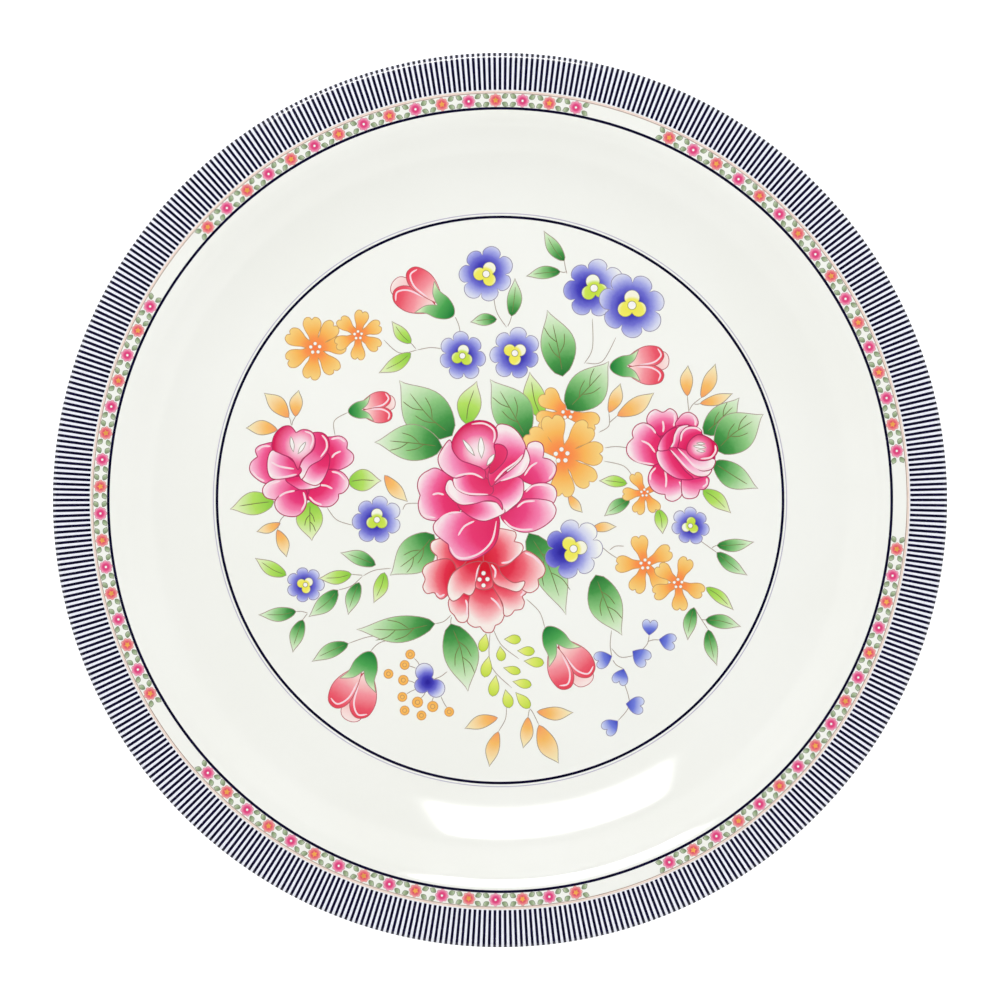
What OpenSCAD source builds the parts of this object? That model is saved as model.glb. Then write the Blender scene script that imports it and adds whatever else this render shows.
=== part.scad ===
// China dinner plate with a flat well, a raised shoulder and a narrow rim that ends in a round lip.
// Z is up. The foot ring stands on z = 0 and the plate turns about the Z axis.
// The white body is one fired piece. The glaze coats and each printed enamel colour lie on it as
// thin solids, each in its own node.

/* [Plate] */
// Diameter over the lip
plate_d = 270; // [264:1:280]
// Thickness of the fired wall
wall_t = 2.8; // [2.6:0.1:3.4]
// Radius of the flat well
well_r = 83; // [82.5:0.5:84]
// Radius of the hollow curve between well and shoulder
shoulder_r = 50; // [46:0.5:51]
// Steepest slope of the shoulder, in degrees
steep = 36; // [33:1:37]
// Radius of the curve from shoulder to rim
turn_r = 12.4; // [10:0.2:13]
// Slope of the rim, in degrees
rim_slope = 6; // [4:0.5:8]

/* [Foot ring] */
// Height of the recess inside the foot ring
foot_h = 4.6; // [3.8:0.1:5.5]
// Outer radius of the foot ring
foot_outer_r = 79.5; // [77:0.5:80]
// Width of the foot ring
foot_w = 5; // [4:0.5:6]
// Radius of the hollow curves where the foot meets the plate
foot_fillet = 2; // [1:0.1:2.2]
// Rounding of the tread's edges
tread_round = 1; // [0.6:0.1:1.2]

/* [Glaze and enamel] */
// Thickness of the glaze
glaze_t = 0.2; // [0.15:0.01:0.3]
// Thickness of a printed enamel colour
print_t = 0.08; // [0.06:0.01:0.12]
// Height at which the glaze stops above the unglazed tread
glaze_stop = 1.4; // [1.3:0.1:1.5]

/* [Rings] */
// Radius of the navy line around the well
well_line_r = 85.8; // [85:0.1:87]
// Radius of the fine grey line outside it
fine_line_r = 86.9; // [86.8:0.1:88.5]
// Radius of the navy line at the foot of the rim
rim_line_r = 118.2; // [117:0.1:118.4]
// Width of the two navy lines
navy_line_w = 0.8; // [0.5:0.1:1]
// Width of the fine lines
fine_line_w = 0.3; // [0.2:0.05:0.4]

/* [Rim stripes] */
// How many stripes go round
stripe_count = 516; // [400:4:540]
// Width of one stripe
stripe_w = 0.82; // [0.4:0.02:0.9]
// Radius of the stripes' inner ends
stripe_r = 123.8; // [123.5:0.1:125]

/* [Flower border] */
// Radius of the row of small flowers
border_r = 120.7; // [120.5:0.1:121]
// Runs of flowers, with a plain gap after each
border_runs = 5; // [3:1:6]
// Pairs of flowers in a run
border_pairs = 8; // [4:1:8]
// Angle from one flower to the next, in degrees
border_step = 3.86; // [3.6:0.01:3.9]
// Radius of a border flower
border_flower_r = 1.9; // [1.4:0.1:1.9]

/* [Hidden] */

face_z = foot_h + wall_t;
lip_r = wall_t / 2;
top_g = glaze_t + print_t;
foot_inner_r = foot_outer_r - foot_w;

// Centres and joints of the section's arcs, as [radius, height]
shoulder_c = [well_r, face_z + shoulder_r];
shoulder_end = shoulder_c + shoulder_r * [sin(steep), -cos(steep)];
turn_c = shoulder_end + turn_r * [sin(steep), -cos(steep)];
turn_end = turn_c + turn_r * [-sin(rim_slope), cos(rim_slope)];
lip_x = plate_d / 2 - glaze_t - lip_r;
lip_start_x = lip_x - lip_r * sin(rim_slope);
lip_start_z = turn_end[1] + (lip_start_x - turn_end[0]) * tan(rim_slope);
lip_c = [lip_x, lip_start_z - lip_r * cos(rim_slope)];

// Steps in each arc of the section
shoulder_steps = 12;
turn_steps = 6;
lip_steps = 4;
fillet_steps = 4;
ring_fn = 180;

// The flowers of the well. Places are in millimetres from the plate's centre, x to the right.
// [x, y, radius, turn, lobes, depth of the lobes]
ROSES = [[-3.8, 3, 20.5, 10, 7, 0.12], [-60.4, 9, 14.6, 25, 6, 0.12], [52.6, 13.8, 13.8, 0, 6, 0.12]];
PEONY = [-4.8, -24.5, 17.3, 15, 7, 0.14];
PANSIES = [
  [40, 59, 9.8, 10, 7, 0.16], [28.5, 64, 9, 40, 6, 0.18], [-4.2, 68.5, 8.4, 15, 6, 0.18],
  [-11.4, 43.7, 7.2, 0, 6, 0.17], [4.5, 44.5, 7.6, 30, 6, 0.17], [-37.5, -6, 7.2, 20, 6, 0.17],
  [-59, -25.7, 5.6, 10, 6, 0.2], [22.5, -14.8, 9, 0, 6, 0.18], [57.7, -7.8, 5.8, 25, 6, 0.18]
];
// [x, y, radius, turn]
BLOSSOMS = [
  [-56, 46, 9.3, 15], [-43, 50, 7.2, 50], [18.5, 13, 13.6, 3], [20.5, 25.5, 9.2, 18],
  [44, -19.5, 8.4, 8], [54, -25.3, 7.8, 30], [43.8, 2.2, 6.4, 0]
];
// [x and y of the calyx, length, direction]
BUDS = [
  [-14, 56, 21, 148], [-46, 26.8, 14.5, 8], [33.3, 40.3, 18, 3], [-39, -46, 22, -112],
  [14, -38.5, 21.5, -58]
];
// [x and y of the point, size, direction]
HEARTS = [
  [45.2, -41, 4.8, 85], [48.2, -42.3, 5.2, -12], [40.2, -45.8, 5.8, -35], [33.9, -47.3, 5.4, 200],
  [37.5, -51.2, 5, 250], [38.2, -61.8, 5.5, -8], [35.7, -67, 5.2, 218]
];
// [x, y, radius]
BERRIES = [
  [-27.2, -46.8, 1.4], [-28.9, -50, 1.4], [-33.8, -52.7, 1.4], [-29.3, -54.6, 1.5], [-29.6, -59.7, 1.4],
  [-25, -61.3, 1.6], [-28.9, -63.8, 1.4], [-23.8, -65.3, 1.4], [-20.4, -62.6, 1.6], [-15.4, -64.2, 1.4]
];
// The little three-lobed blue flower in the berries: [x, y, radius]
TREFOIL = [[-23.6, -52, 2.3], [-24.1, -56.7, 2.1], [-19.2, -57.5, 2.5]];
// Leaves: [x and y of the stem end, x and y of the tip, width]
DARK_LEAVES = [
  [-14.5, 19.5, -30.5, 36.2, 14], [-17.5, 16, -38, 17.5, 11], [8, 18.5, -3, 36.5, 12],
  [19, 37.5, 14.3, 57.5, 10.5], [20.3, 27.5, 33, 42, 11.5], [-20, -10.5, -33.3, -22.8, 11],
  [-19.7, -37.5, -43.5, -39.2, 8], [-14.9, -37.5, -9.7, -58, 10.5], [8.7, -10, 20, -34.8, 10],
  [29, -22.7, 37, -41, 10], [61.8, 20, 72.5, 31, 8], [65.5, 15, 79.8, 26, 12], [64.7, 11.5, 78.2, 3.5, 7.4],
  [19.5, 72.5, 13.3, 81.6, 4], [18.3, 69.2, 7.9, 67.8, 3.8], [3.5, 55.7, 4.5, 67.2, 4.4],
  [-1, 54.8, -9, 53.9, 3.6], [-61.8, -33.8, -73.2, -34.8, 4.2], [-49.2, -27.3, -58, -35.4, 5],
  [-42.7, -25, -46, -34.8, 4.3], [-59.8, -36.3, -62.8, -46.2, 4.2], [-37.7, -19.7, -48.4, -16, 4.4],
  [-46, -43.5, -57, -49, 4.4], [65.7, -13.8, 77, -12.7, 3.8], [65.7, -15.9, 75, -22.8, 4],
  [58.8, -32.6, 56.9, -42.5, 3.9], [62.3, -36.3, 73, -38.4, 4.2], [63.1, -39.3, 65.8, -50.2, 3.9],
  [39.3, 0.2, 31.6, -4.9, 4]
];
LIME_LEAVES = [
  [-10.3, 23, -7, 36, 7.2], [12.5, 25, 9, 38.8, 6.6], [-68.5, -0.5, -81.8, -2.8, 7],
  [-57.5, -0.5, -57, -12.3, 8], [-46, 5.5, -36, 5.8, 6.6], [61.5, 3, 70, -4, 4.6],
  [-27, 47.5, -32.8, 54.2, 3.7], [-27, 44.5, -36.8, 38.5, 4.2],
  [48, -2.8, 49.3, -10.3, 3.9], [38.5, 5, 30, 5.8, 3.4], [-64.8, -22.8, -74.2, -17.6, 4.2],
  [-45, -22.5, -55, -23.8, 4.1], [-35, -22, -38.3, -31.2, 4.2], [62.5, -26.5, 70.8, -33.4, 3.4]
];
ORANGE_LEAVES = [
  [-64, 25, -71.5, 32.4, 4.8], [-62, 25.3, -61, 33.3, 3.9], [-67.5, 21.3, -77, 21.8, 4.4],
  [-66.6, -7, -73.8, -9.6, 2.8], [-67.5, -9, -64.7, -17.3, 3.6], [-35, 7.5, -28, -0.5, 4],
  [33, 26.5, 36.5, 35.3, 3.9], [35.5, 25.5, 46.7, 32.5, 5], [56.8, 31.5, 57, 40.8, 3.8],
  [61, 31, 65.3, 41.3, 4], [60.6, 29.2, 70.5, 32.3, 3.2], [20.8, 1.5, 25, -3.8, 2.9],
  [27.5, -8.9, 35.3, -8.1, 2.9], [-0.7, -66, -10.7, -69.3, 4], [-0.5, -70.2, -3.2, -80.8, 4],
  [11.2, -64.2, 22.2, -64.4, 4], [8.5, -65.8, 7, -75.2, 3.8], [11.8, -68.2, 17.8, -79.8, 5.6]
];
// Drop-shaped seeds: [x and y of the thin end, x and y of the round end, width]
SEEDS = [
  [-4.2, -40.4, -5.5, -46, 3], [-3.3, -47.2, -4.7, -53.7, 3.3], [-1.2, -53, -2.3, -59.5, 3.2],
  [0, -44.3, 0.5, -48.8, 2.8], [1.2, -42.2, 6.3, -42.3, 2.8], [5.2, -45.7, 10.5, -45.9, 2.8],
  [7.2, -48.8, 13.3, -49.4, 3], [1, -50.8, 6.2, -52.2, 2.5], [3.8, -55, 9.5, -56.1, 2.8],
  [1.6, -57.4, 2.9, -63, 3.2], [4.7, -58.3, 9, -63, 3.1]
];
// Stems: [start, point that bends it, end]
STEMS = [
  [[-2, 62.5], [-1, 57], [2, 52.3]], [[2.3, 52.6], [3, 54], [3.5, 55.7]],
  [[-13.6, 55.5], [-12.5, 53], [-12, 50]],
  [[-35.2, 48.5], [-30.5, 44.6], [-25, 45.5]], [[-25, 45.5], [-21, 46.2], [-17.5, 45.8]],
  [[-25.5, 45.8], [-26.3, 46.8], [-27, 47.6]], [[-50, 19.5], [-50.2, 24], [-46, 26.6]],
  [[-63.1, 22.5], [-62.8, 23.8], [-62, 25.3]], [[-63.3, 22.7], [-63.5, 24], [-63.9, 25]],
  [[-65.3, -4.7], [-66.6, -6.2], [-67.4, -8.9]], [[-52.5, -2.2], [-49.5, -6], [-44.5, -7.7]],
  [[-29.5, -3], [-28.3, -1.2], [-24.5, -1]], [[-33, -20.7], [-38, -21.3], [-41.5, -23]],
  [[-41.6, -23], [-45, -26], [-49, -27.3]], [[-45, -22.5], [-43.2, -22.7], [-41.7, -22.8]],
  [[-58.3, -34.3], [-60, -33.8], [-61.8, -33.8]], [[-58.4, -34.5], [-59, -35.2], [-59.8, -36.3]],
  [[-46, -43.5], [-40, -41.5], [-34.5, -41]], [[-39.4, -46], [-36.5, -43.3], [-31.5, -42]],
  [[-19.7, -37.5], [-17, -36.8], [-14.8, -34.8]], [[-14.9, -37.5], [-14.9, -36.5], [-14.7, -35.4]],
  [[-20.3, -54.4], [-18, -53.5], [-16, -52]], [[-26, -48], [-25, -49], [-24.5, -50]],
  [[-27.5, -50.3], [-26.5, -50.6], [-25.5, -51]], [[-27.8, -54.8], [-26.8, -55], [-25.8, -55.5]],
  [[-28.3, -58.8], [-27, -58], [-25.6, -57.4]], [[-23.9, -60], [-23, -59], [-22.4, -57.8]],
  [[-20.6, -61], [-20.4, -60.4], [-20.2, -59.8]], [[-16.1, -62.9], [-17, -61.5], [-17.9, -59.6]],
  [[-3, -39.7], [-2.8, -50], [3.6, -57]], [[-2, -39.3], [0.5, -44], [5.8, -48.2]],
  [[2, -62.9], [1.6, -66.5], [-0.5, -70.2]], [[9, -63.2], [10, -64.5], [11.8, -68.2]],
  [[8.9, -63.5], [8.7, -64.5], [8.5, -65.8]], [[8, -30], [12, -34], [13.6, -38.8]],
  [[31, -14.3], [33, -16], [36, -18]], [[33.2, -15.2], [35, -14], [37.6, -14]],
  [[31.8, 15.8], [35.2, 16.2], [39.5, 15.7]], [[31.5, 11.8], [37.5, 10.3], [40.3, 7]],
  [[30, 20.5], [33, 22.5], [33, 26.5]], [[33.1, 23.4], [34, 24.2], [35.5, 25.5]],
  [[57.3, 26.5], [57, 29], [56.8, 31.5]], [[57.4, 27.2], [58.5, 29], [61, 31]],
  [[58.9, 29.1], [59.7, 29], [60.6, 29.2]], [[60.8, -12.4], [63, -14], [65.7, -15.9]],
  [[64.2, -14.6], [65, -14], [65.7, -13.8]], [[59, -32.7], [60.3, -35], [63.1, -39.3]],
  [[61, -36.2], [61.6, -36.3], [62.3, -36.3]], [[28, 55], [28, 46], [25.5, 41.3]],
  [[35.2, 49.4], [31, 42], [26, 41.5]], [[20.3, 68.6], [19.8, 70.5], [19.5, 72.5]],
  [[20.2, 69.2], [19.3, 69], [18.3, 69.2]], [[33.8, -39.5], [33.4, -44], [33.9, -47.3]],
  [[33.8, -45], [36.5, -47.6], [40.4, -47.2]], [[42.6, -45.9], [44.7, -43.5], [45.2, -41]],
  [[44.7, -42.9], [46.5, -42.4], [48.2, -42.4]], [[34.2, -48.5], [35.3, -50], [37.5, -51.2]],
  [[37.5, -55], [39.2, -62], [35.7, -67]]
];
stem_w = 0.26;

// Where a stripe ends on the lip, as the angle above the lip's middle
stripe_end = 24;
// The peach line inside the stripes, and the brown one inside that
edge_line_r = stripe_r - 0.4;
edge_line_w = 0.5;
border_line_r = stripe_r - 0.85;
border_line_w = 0.2;

// Steps in the curves of the flat outlines
curve_steps = 8;
petal_points = 9;

function backwards(list) = [for (i = [len(list) - 1:-1:0]) list[i]];
function arc(c, r, from, to, steps) =
  [for (i = [0:steps]) let (a = from + (to - from) * i / steps) c + r * [cos(a), sin(a)]];

// Slope of the face at a radius, its height there, and the point at a distance g above the body
function slope_at(r) =
  r < well_r ? 0 :
  r < shoulder_end[0] ? asin((r - well_r) / shoulder_r) :
  r < turn_end[0] ? asin((turn_c[0] - r) / turn_r) : rim_slope;
function height_at(r) =
  r < well_r ? face_z :
  r < shoulder_end[0] ? shoulder_c[1] - shoulder_r * cos(slope_at(r)) :
  r < turn_end[0] ? turn_c[1] + turn_r * cos(slope_at(r)) :
  turn_end[1] + (r - turn_end[0]) * tan(rim_slope);
function on_face(r, g) =
  let (s = slope_at(r)) [r - g * sin(s), height_at(r) + g * cos(s)];

// The wall's section at a distance g outside the face or the underside of the body
function face_line(g) = concat(
  [[0, face_z + g]],
  arc(shoulder_c, shoulder_r - g, -90, steep - 90, shoulder_steps),
  arc(turn_c, turn_r + g, 90 + steep, 90 + rim_slope, turn_steps),
  arc(lip_c, lip_r + g, 90 + rim_slope, 0, lip_steps));
function under_line(g) = concat(
  arc(lip_c, lip_r + g, 0, rim_slope - 90, lip_steps),
  arc(turn_c, turn_r - wall_t - g, 90 + rim_slope, 90 + steep, turn_steps),
  arc(shoulder_c, shoulder_r + wall_t + g, steep - 90, -90, shoulder_steps));
function foot_outer_line(g) =
  arc([foot_outer_r + foot_fillet, foot_h - foot_fillet], foot_fillet - g, 90, 180, fillet_steps);
function foot_inner_line(g) =
  arc([foot_inner_r - foot_fillet, foot_h - foot_fillet], foot_fillet - g, 0, 90, fillet_steps);
tread_line = concat(
  arc([foot_outer_r - tread_round, tread_round], tread_round, 0, -90, fillet_steps),
  arc([foot_inner_r + tread_round, tread_round], tread_round, -90, -180, fillet_steps));

// Section of a stripe's upper or lower side, from its inner end out over the lip
function stripe_line(g) =
  concat([on_face(stripe_r, g)], arc(lip_c, lip_r + g, 90 + rim_slope, stripe_end, lip_steps - 1));

// Outlines in the plane of the well
function direction(p) = atan2(p[3] - p[1], p[2] - p[0]);
function span(p) = norm([p[2] - p[0], p[3] - p[1]]);
function lobed(r, lobes, depth, points) =
  [for (i = [0:points - 1]) let (a = 360 * i / points, wave = abs(cos(lobes * a / 2)))
    r * (1 - depth * (1 - sqrt(wave))) * [cos(a), sin(a)]];
function blade(t, fullness) = pow(sin(180 * pow(t, fullness)), 0.9);
function bend(p, t) = p[0] * (1 - t) * (1 - t) + 2 * p[1] * t * (1 - t) + p[2] * t * t;
function bend_side(p, t) =
  let (d = (p[1] - p[0]) * (1 - t) + (p[2] - p[1]) * t) [-d[1], d[0]] / norm(d);

module revolve(points) { rotate_extrude($fn = ring_fn) polygon(points); }
module ring_band(r, w) {
  inner = r - w / 2;
  outer = r + w / 2;
  revolve([on_face(inner, glaze_t), on_face(outer, glaze_t), on_face(outer, top_g), on_face(inner, top_g)]);
}
module well_print() {
  translate([0, 0, face_z + glaze_t]) linear_extrude(print_t) children();
}
module on_rim(angle) {
  place = on_face(border_r, glaze_t);
  rotate([0, 0, angle]) translate([place[0], 0, place[1]]) rotate([0, -rim_slope, 0])
    linear_extrude(print_t) children();
}
module border_row(first) {
  run_start = (360 / border_runs - border_step * (2 * border_pairs - 1)) / 2;
  for (run = [0:border_runs - 1], i = [0:border_pairs - 1])
    on_rim(run * 360 / border_runs + run_start + border_step * (2 * i + first)) children();
}

// The fired body and its glaze
module porcelain_body() {
  color("white") revolve(concat(
    face_line(0), under_line(0), foot_outer_line(0), tread_line, foot_inner_line(0), [[0, foot_h]]));
}
module face_glaze() {
  color("ivory") revolve(concat(face_line(glaze_t), backwards(face_line(0))));
}
module back_glaze() {
  color("ivory") revolve(concat(
    under_line(glaze_t), foot_outer_line(glaze_t), [[foot_outer_r + glaze_t, glaze_stop]],
    [[foot_outer_r, glaze_stop]], backwards(foot_outer_line(0)), backwards(under_line(0))));
}
module recess_glaze() {
  color("ivory") revolve(concat(
    [[foot_inner_r - glaze_t, glaze_stop]], foot_inner_line(glaze_t), [[0, foot_h - glaze_t], [0, foot_h]],
    backwards(foot_inner_line(0)), [[foot_inner_r, glaze_stop]]));
}

// The printed rings of the rim and the well
module rim_stripes() {
  color("midnightblue") for (i = [0:stripe_count - 1])
    rotate([90, 0, 360 * i / stripe_count])
      linear_extrude(stripe_w, center = true)
        polygon(concat(stripe_line(top_g), backwards(stripe_line(glaze_t))));
}
module stripe_edge_line() { color("peachpuff") ring_band(edge_line_r, edge_line_w); }
module border_fine_line() { color("rosybrown") ring_band(border_line_r, border_line_w); }
module rim_line() { color("midnightblue") ring_band(rim_line_r, navy_line_w); }
module well_line() { color("midnightblue") ring_band(well_line_r, navy_line_w); }
module well_fine_line() { color("silver") ring_band(fine_line_r, fine_line_w); }

// The border's small flowers, alternately pink and coral, with four leaves round each
module scalloped_disc() {
  petals = 8;
  petal_r = border_flower_r / 3;
  circle(r = border_flower_r * 0.75, $fn = 24);
  for (i = [0:petals - 1]) rotate(360 * i / petals)
    translate([border_flower_r - petal_r, 0]) circle(r = petal_r, $fn = 24);
}
module small_star() {
  inner = 0.45;
  outer = 0.85;
  polygon([for (i = [0:9]) (i % 2 == 0 ? outer : inner) * [cos(36 * i), sin(36 * i)]]);
}
module small_leaf() {
  side_r = 1.25;
  side_c = 0.6;
  intersection() {
    translate([0, side_c]) circle(r = side_r, $fn = 24);
    translate([0, -side_c]) circle(r = side_r, $fn = 24);
  }
}
module border_pink_flowers() {
  heart_r = 0.42;
  color("deeppink") border_row(0) difference() { scalloped_disc(); circle(r = heart_r, $fn = 8); }
}
module border_coral_flowers() {
  color("salmon") border_row(1) difference() { scalloped_disc(); small_star(); }
}
module border_star_centres() { color("orange") border_row(1) small_star(); }
module border_leaves() {
  leaf_out = 2.95;
  leaf_up = 1.25;
  leaf_turn = 25;
  color("darkseagreen") for (first = [0, 1]) border_row(first) for (side = [-1, 1], up = [-1, 1])
    translate([up * leaf_up, side * leaf_out]) rotate(90 - side * up * leaf_turn) small_leaf();
}

// Parts of the bouquet, each an outline on the well
module flower_shape(p) {
  translate([p[0], p[1]]) rotate(p[3]) polygon(lobed(p[2], p[4], p[5], p[4] * petal_points));
}
module leaf_shape(p, fullness) {
  length = span(p);
  edge = [for (i = [1:curve_steps - 1]) let (t = i / curve_steps)
    [length * t, p[4] / 2 * blade(t, fullness)]];
  translate([p[0], p[1]]) rotate(direction(p))
    polygon(concat([[0, 0]], edge, [[length, 0]], backwards([for (q = edge) [q[0], -q[1]]])));
}
module pansy_heart(p) {
  lobe_out = p[2] * 0.2;
  lobe_r = p[2] * 0.21;
  for (i = [0:2]) translate([p[0], p[1]]) rotate(90 + p[3] + 120 * i)
    translate([lobe_out, 0]) circle(r = lobe_r, $fn = 12);
}
// The outlines of a petal, a bud, its calyx and a heart, for a length of 1 along x
blossom_petal = [
  [0, -0.1], [0.32, -0.12], [0.62, -0.27], [0.9, -0.3], [1, -0.14], [0.91, 0], [1, 0.14], [0.9, 0.3],
  [0.62, 0.27], [0.32, 0.12], [0, 0.1]
];
bud_outline = [
  [0.24, 0.06], [0.4, 0.22], [0.62, 0.31], [0.84, 0.28], [0.92, 0.16], [1, 0.06], [0.95, -0.06],
  [0.9, -0.16], [0.84, -0.28], [0.62, -0.31], [0.42, -0.22], [0.24, -0.06]
];
calyx_outline = [
  [0, 0], [0.06, 0.1], [0.2, 0.17], [0.36, 0.19], [0.5, 0.27], [0.42, 0.1], [0.28, 0], [0.42, -0.1],
  [0.5, -0.27], [0.36, -0.19], [0.2, -0.17], [0.06, -0.1]
];
heart_outline = [
  [0, 0], [0.27, -0.3], [0.52, -0.46], [0.8, -0.47], [0.97, -0.3], [0.93, -0.1], [0.78, 0],
  [0.93, 0.1], [0.97, 0.3], [0.8, 0.47], [0.52, 0.46], [0.27, 0.3]
];
module placed(p, outline) { translate([p[0], p[1]]) rotate(p[3]) polygon(p[2] * outline); }
module blossom_shape(p) {
  for (i = [0:4]) translate([p[0], p[1]]) rotate(p[3] + 72 * i) polygon(p[2] * blossom_petal);
}
module stem_shape(p) {
  left = [for (i = [0:curve_steps]) let (t = i / curve_steps) bend(p, t) + stem_w / 2 * bend_side(p, t)];
  right = [for (i = [0:curve_steps]) let (t = i / curve_steps) bend(p, t) - stem_w / 2 * bend_side(p, t)];
  polygon(concat(left, backwards(right)));
}
module all_roses() { for (p = ROSES) flower_shape(p); }
module peony_outline() { difference() { flower_shape(PEONY); all_roses(); } }
module all_blossoms() { difference() { union() { for (p = BLOSSOMS) blossom_shape(p); } all_roses(); } }
module all_pansies() { for (p = PANSIES) flower_shape(p); }
module all_hearts() { for (p = HEARTS) placed(p, heart_outline); }
module all_calyxes() { for (p = BUDS) placed(p, calyx_outline); }
module all_bud_petals() { for (p = BUDS) placed(p, bud_outline); }
module all_berries() { for (p = BERRIES) translate([p[0], p[1]]) circle(r = p[2], $fn = 24); }
module trefoil() { for (p = TREFOIL) translate([p[0], p[1]]) circle(r = p[2], $fn = 24); }
module all_seeds() { difference() { for (p = SEEDS) leaf_shape(p, 1.5); flower_shape(PEONY); } }
module all_flowers() {
  all_roses();
  flower_shape(PEONY);
  for (p = BLOSSOMS) blossom_shape(p);
  all_pansies();
  all_bud_petals();
  all_calyxes();
}
module orange_leaves() { for (p = ORANGE_LEAVES) leaf_shape(p, 1); }
module dark_leaves() { for (p = DARK_LEAVES) leaf_shape(p, 0.85); }
module lime_leaves() { for (p = LIME_LEAVES) leaf_shape(p, 0.85); }

// The bouquet's enamel colours
module rose_pink_enamel() { color("deeppink") well_print() all_roses(); }
module peony_coral_enamel() { color("tomato") well_print() peony_outline(); }
module bud_coral_enamel() {
  color("lightcoral") well_print() difference() { all_bud_petals(); all_calyxes(); }
}
module bud_calyx_enamel() { color("seagreen") well_print() all_calyxes(); }
module pansy_blue_enamel() {
  color("slateblue") well_print() difference() {
    union() { all_pansies(); trefoil(); }
    for (p = PANSIES) pansy_heart(p);
  }
}
module pansy_yellow_centres() { color("khaki") well_print() for (p = PANSIES) pansy_heart(p); }
module blossom_orange_enamel() { color("orange") well_print() all_blossoms(); }
module orange_leaf_enamel() {
  color("sandybrown") well_print() difference() { orange_leaves(); all_flowers(); }
}
module berry_orange_enamel() { color("goldenrod") well_print() all_berries(); }
module heart_blue_enamel() { color("mediumslateblue") well_print() all_hearts(); }
module dark_leaf_enamel() {
  color("forestgreen") well_print() difference() { dark_leaves(); all_flowers(); orange_leaves(); }
}
module lime_leaf_enamel() {
  color("yellowgreen") well_print() difference() {
    lime_leaves();
    all_flowers();
    dark_leaves();
    orange_leaves();
  }
}
module seed_yellow_enamel() { color("yellow") well_print() all_seeds(); }
module stem_brown_enamel() {
  color("rosybrown") well_print() difference() {
    for (p = STEMS) stem_shape(p);
    all_flowers();
    dark_leaves();
    lime_leaves();
    orange_leaves();
    all_seeds();
    all_hearts();
    all_berries();
    trefoil();
  }
}

porcelain_body();
face_glaze();
back_glaze();
recess_glaze();
rim_stripes();
stripe_edge_line();
border_fine_line();
rim_line();
well_line();
well_fine_line();
border_pink_flowers();
border_coral_flowers();
border_star_centres();
border_leaves();
rose_pink_enamel();
peony_coral_enamel();
bud_coral_enamel();
bud_calyx_enamel();
pansy_blue_enamel();
pansy_yellow_centres();
blossom_orange_enamel();
orange_leaf_enamel();
berry_orange_enamel();
heart_blue_enamel();
dark_leaf_enamel();
lime_leaf_enamel();
seed_yellow_enamel();
stem_brown_enamel();
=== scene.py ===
"""Looks of the china dinner plate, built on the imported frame.

Lengths in the tables and functions are millimetres, x to the right and y up as the plate is
seen from above. They become metres only where a mesh is made.
"""

import math

import bmesh
import bpy
import numpy
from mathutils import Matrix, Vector
from mathutils.geometry import delaunay_2d_cdt


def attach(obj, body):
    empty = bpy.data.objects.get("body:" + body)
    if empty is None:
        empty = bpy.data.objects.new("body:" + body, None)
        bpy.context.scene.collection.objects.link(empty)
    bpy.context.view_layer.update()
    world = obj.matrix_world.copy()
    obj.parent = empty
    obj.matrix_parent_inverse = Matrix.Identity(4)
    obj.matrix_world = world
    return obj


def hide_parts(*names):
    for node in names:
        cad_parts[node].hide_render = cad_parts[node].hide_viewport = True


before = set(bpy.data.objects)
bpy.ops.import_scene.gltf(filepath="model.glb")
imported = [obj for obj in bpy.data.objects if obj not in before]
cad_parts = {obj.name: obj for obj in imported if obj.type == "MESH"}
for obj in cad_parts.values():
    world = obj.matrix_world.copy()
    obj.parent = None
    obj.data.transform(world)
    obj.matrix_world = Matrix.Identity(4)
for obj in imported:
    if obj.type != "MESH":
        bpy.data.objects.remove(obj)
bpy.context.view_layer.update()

MM = 0.001

# ---------------------------------------------------------------- sizes of the plate
# The real plate is 270; the looks are kept just inside it
PLATE_D = 269.92
WALL_T = 2.8
WELL_R = 83.0
SHOULDER_R = 50.0
STEEP = math.radians(36)
TURN_R = 12.4
RIM_SLOPE = math.radians(6)
FOOT_H = 4.6
FOOT_OUTER_R = 79.5
FOOT_W = 5.0
FOOT_FILLET = 2.0
TREAD_ROUND = 1.0
GLAZE_T = 0.2
GLAZE_STOP = 1.4
LIP_R = WALL_T / 2
FACE_Z = FOOT_H + WALL_T
FOOT_INNER_R = FOOT_OUTER_R - FOOT_W
RING_SEGMENTS = 720

# A printed colour stands this far above the glaze and reaches this far into it
RELIEF = 0.03
SINK = 0.03

SHOULDER_C = (WELL_R, FACE_Z + SHOULDER_R)
SHOULDER_END = (SHOULDER_C[0] + SHOULDER_R * math.sin(STEEP), SHOULDER_C[1] - SHOULDER_R * math.cos(STEEP))
TURN_C = (SHOULDER_END[0] + TURN_R * math.sin(STEEP), SHOULDER_END[1] - TURN_R * math.cos(STEEP))
TURN_END = (TURN_C[0] - TURN_R * math.sin(RIM_SLOPE), TURN_C[1] + TURN_R * math.cos(RIM_SLOPE))
LIP_X = PLATE_D / 2 - GLAZE_T - LIP_R
LIP_START_X = LIP_X - LIP_R * math.sin(RIM_SLOPE)
LIP_START_Z = TURN_END[1] + (LIP_START_X - TURN_END[0]) * math.tan(RIM_SLOPE)
LIP_C = (LIP_X, LIP_START_Z - LIP_R * math.cos(RIM_SLOPE))


def slope_at(r):
    """Slope of the plate's face at a radius, in radians."""
    if r < WELL_R:
        return 0.0
    if r < SHOULDER_END[0]:
        return math.asin((r - WELL_R) / SHOULDER_R)
    if r < TURN_END[0]:
        return math.asin((TURN_C[0] - r) / TURN_R)
    return RIM_SLOPE


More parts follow.
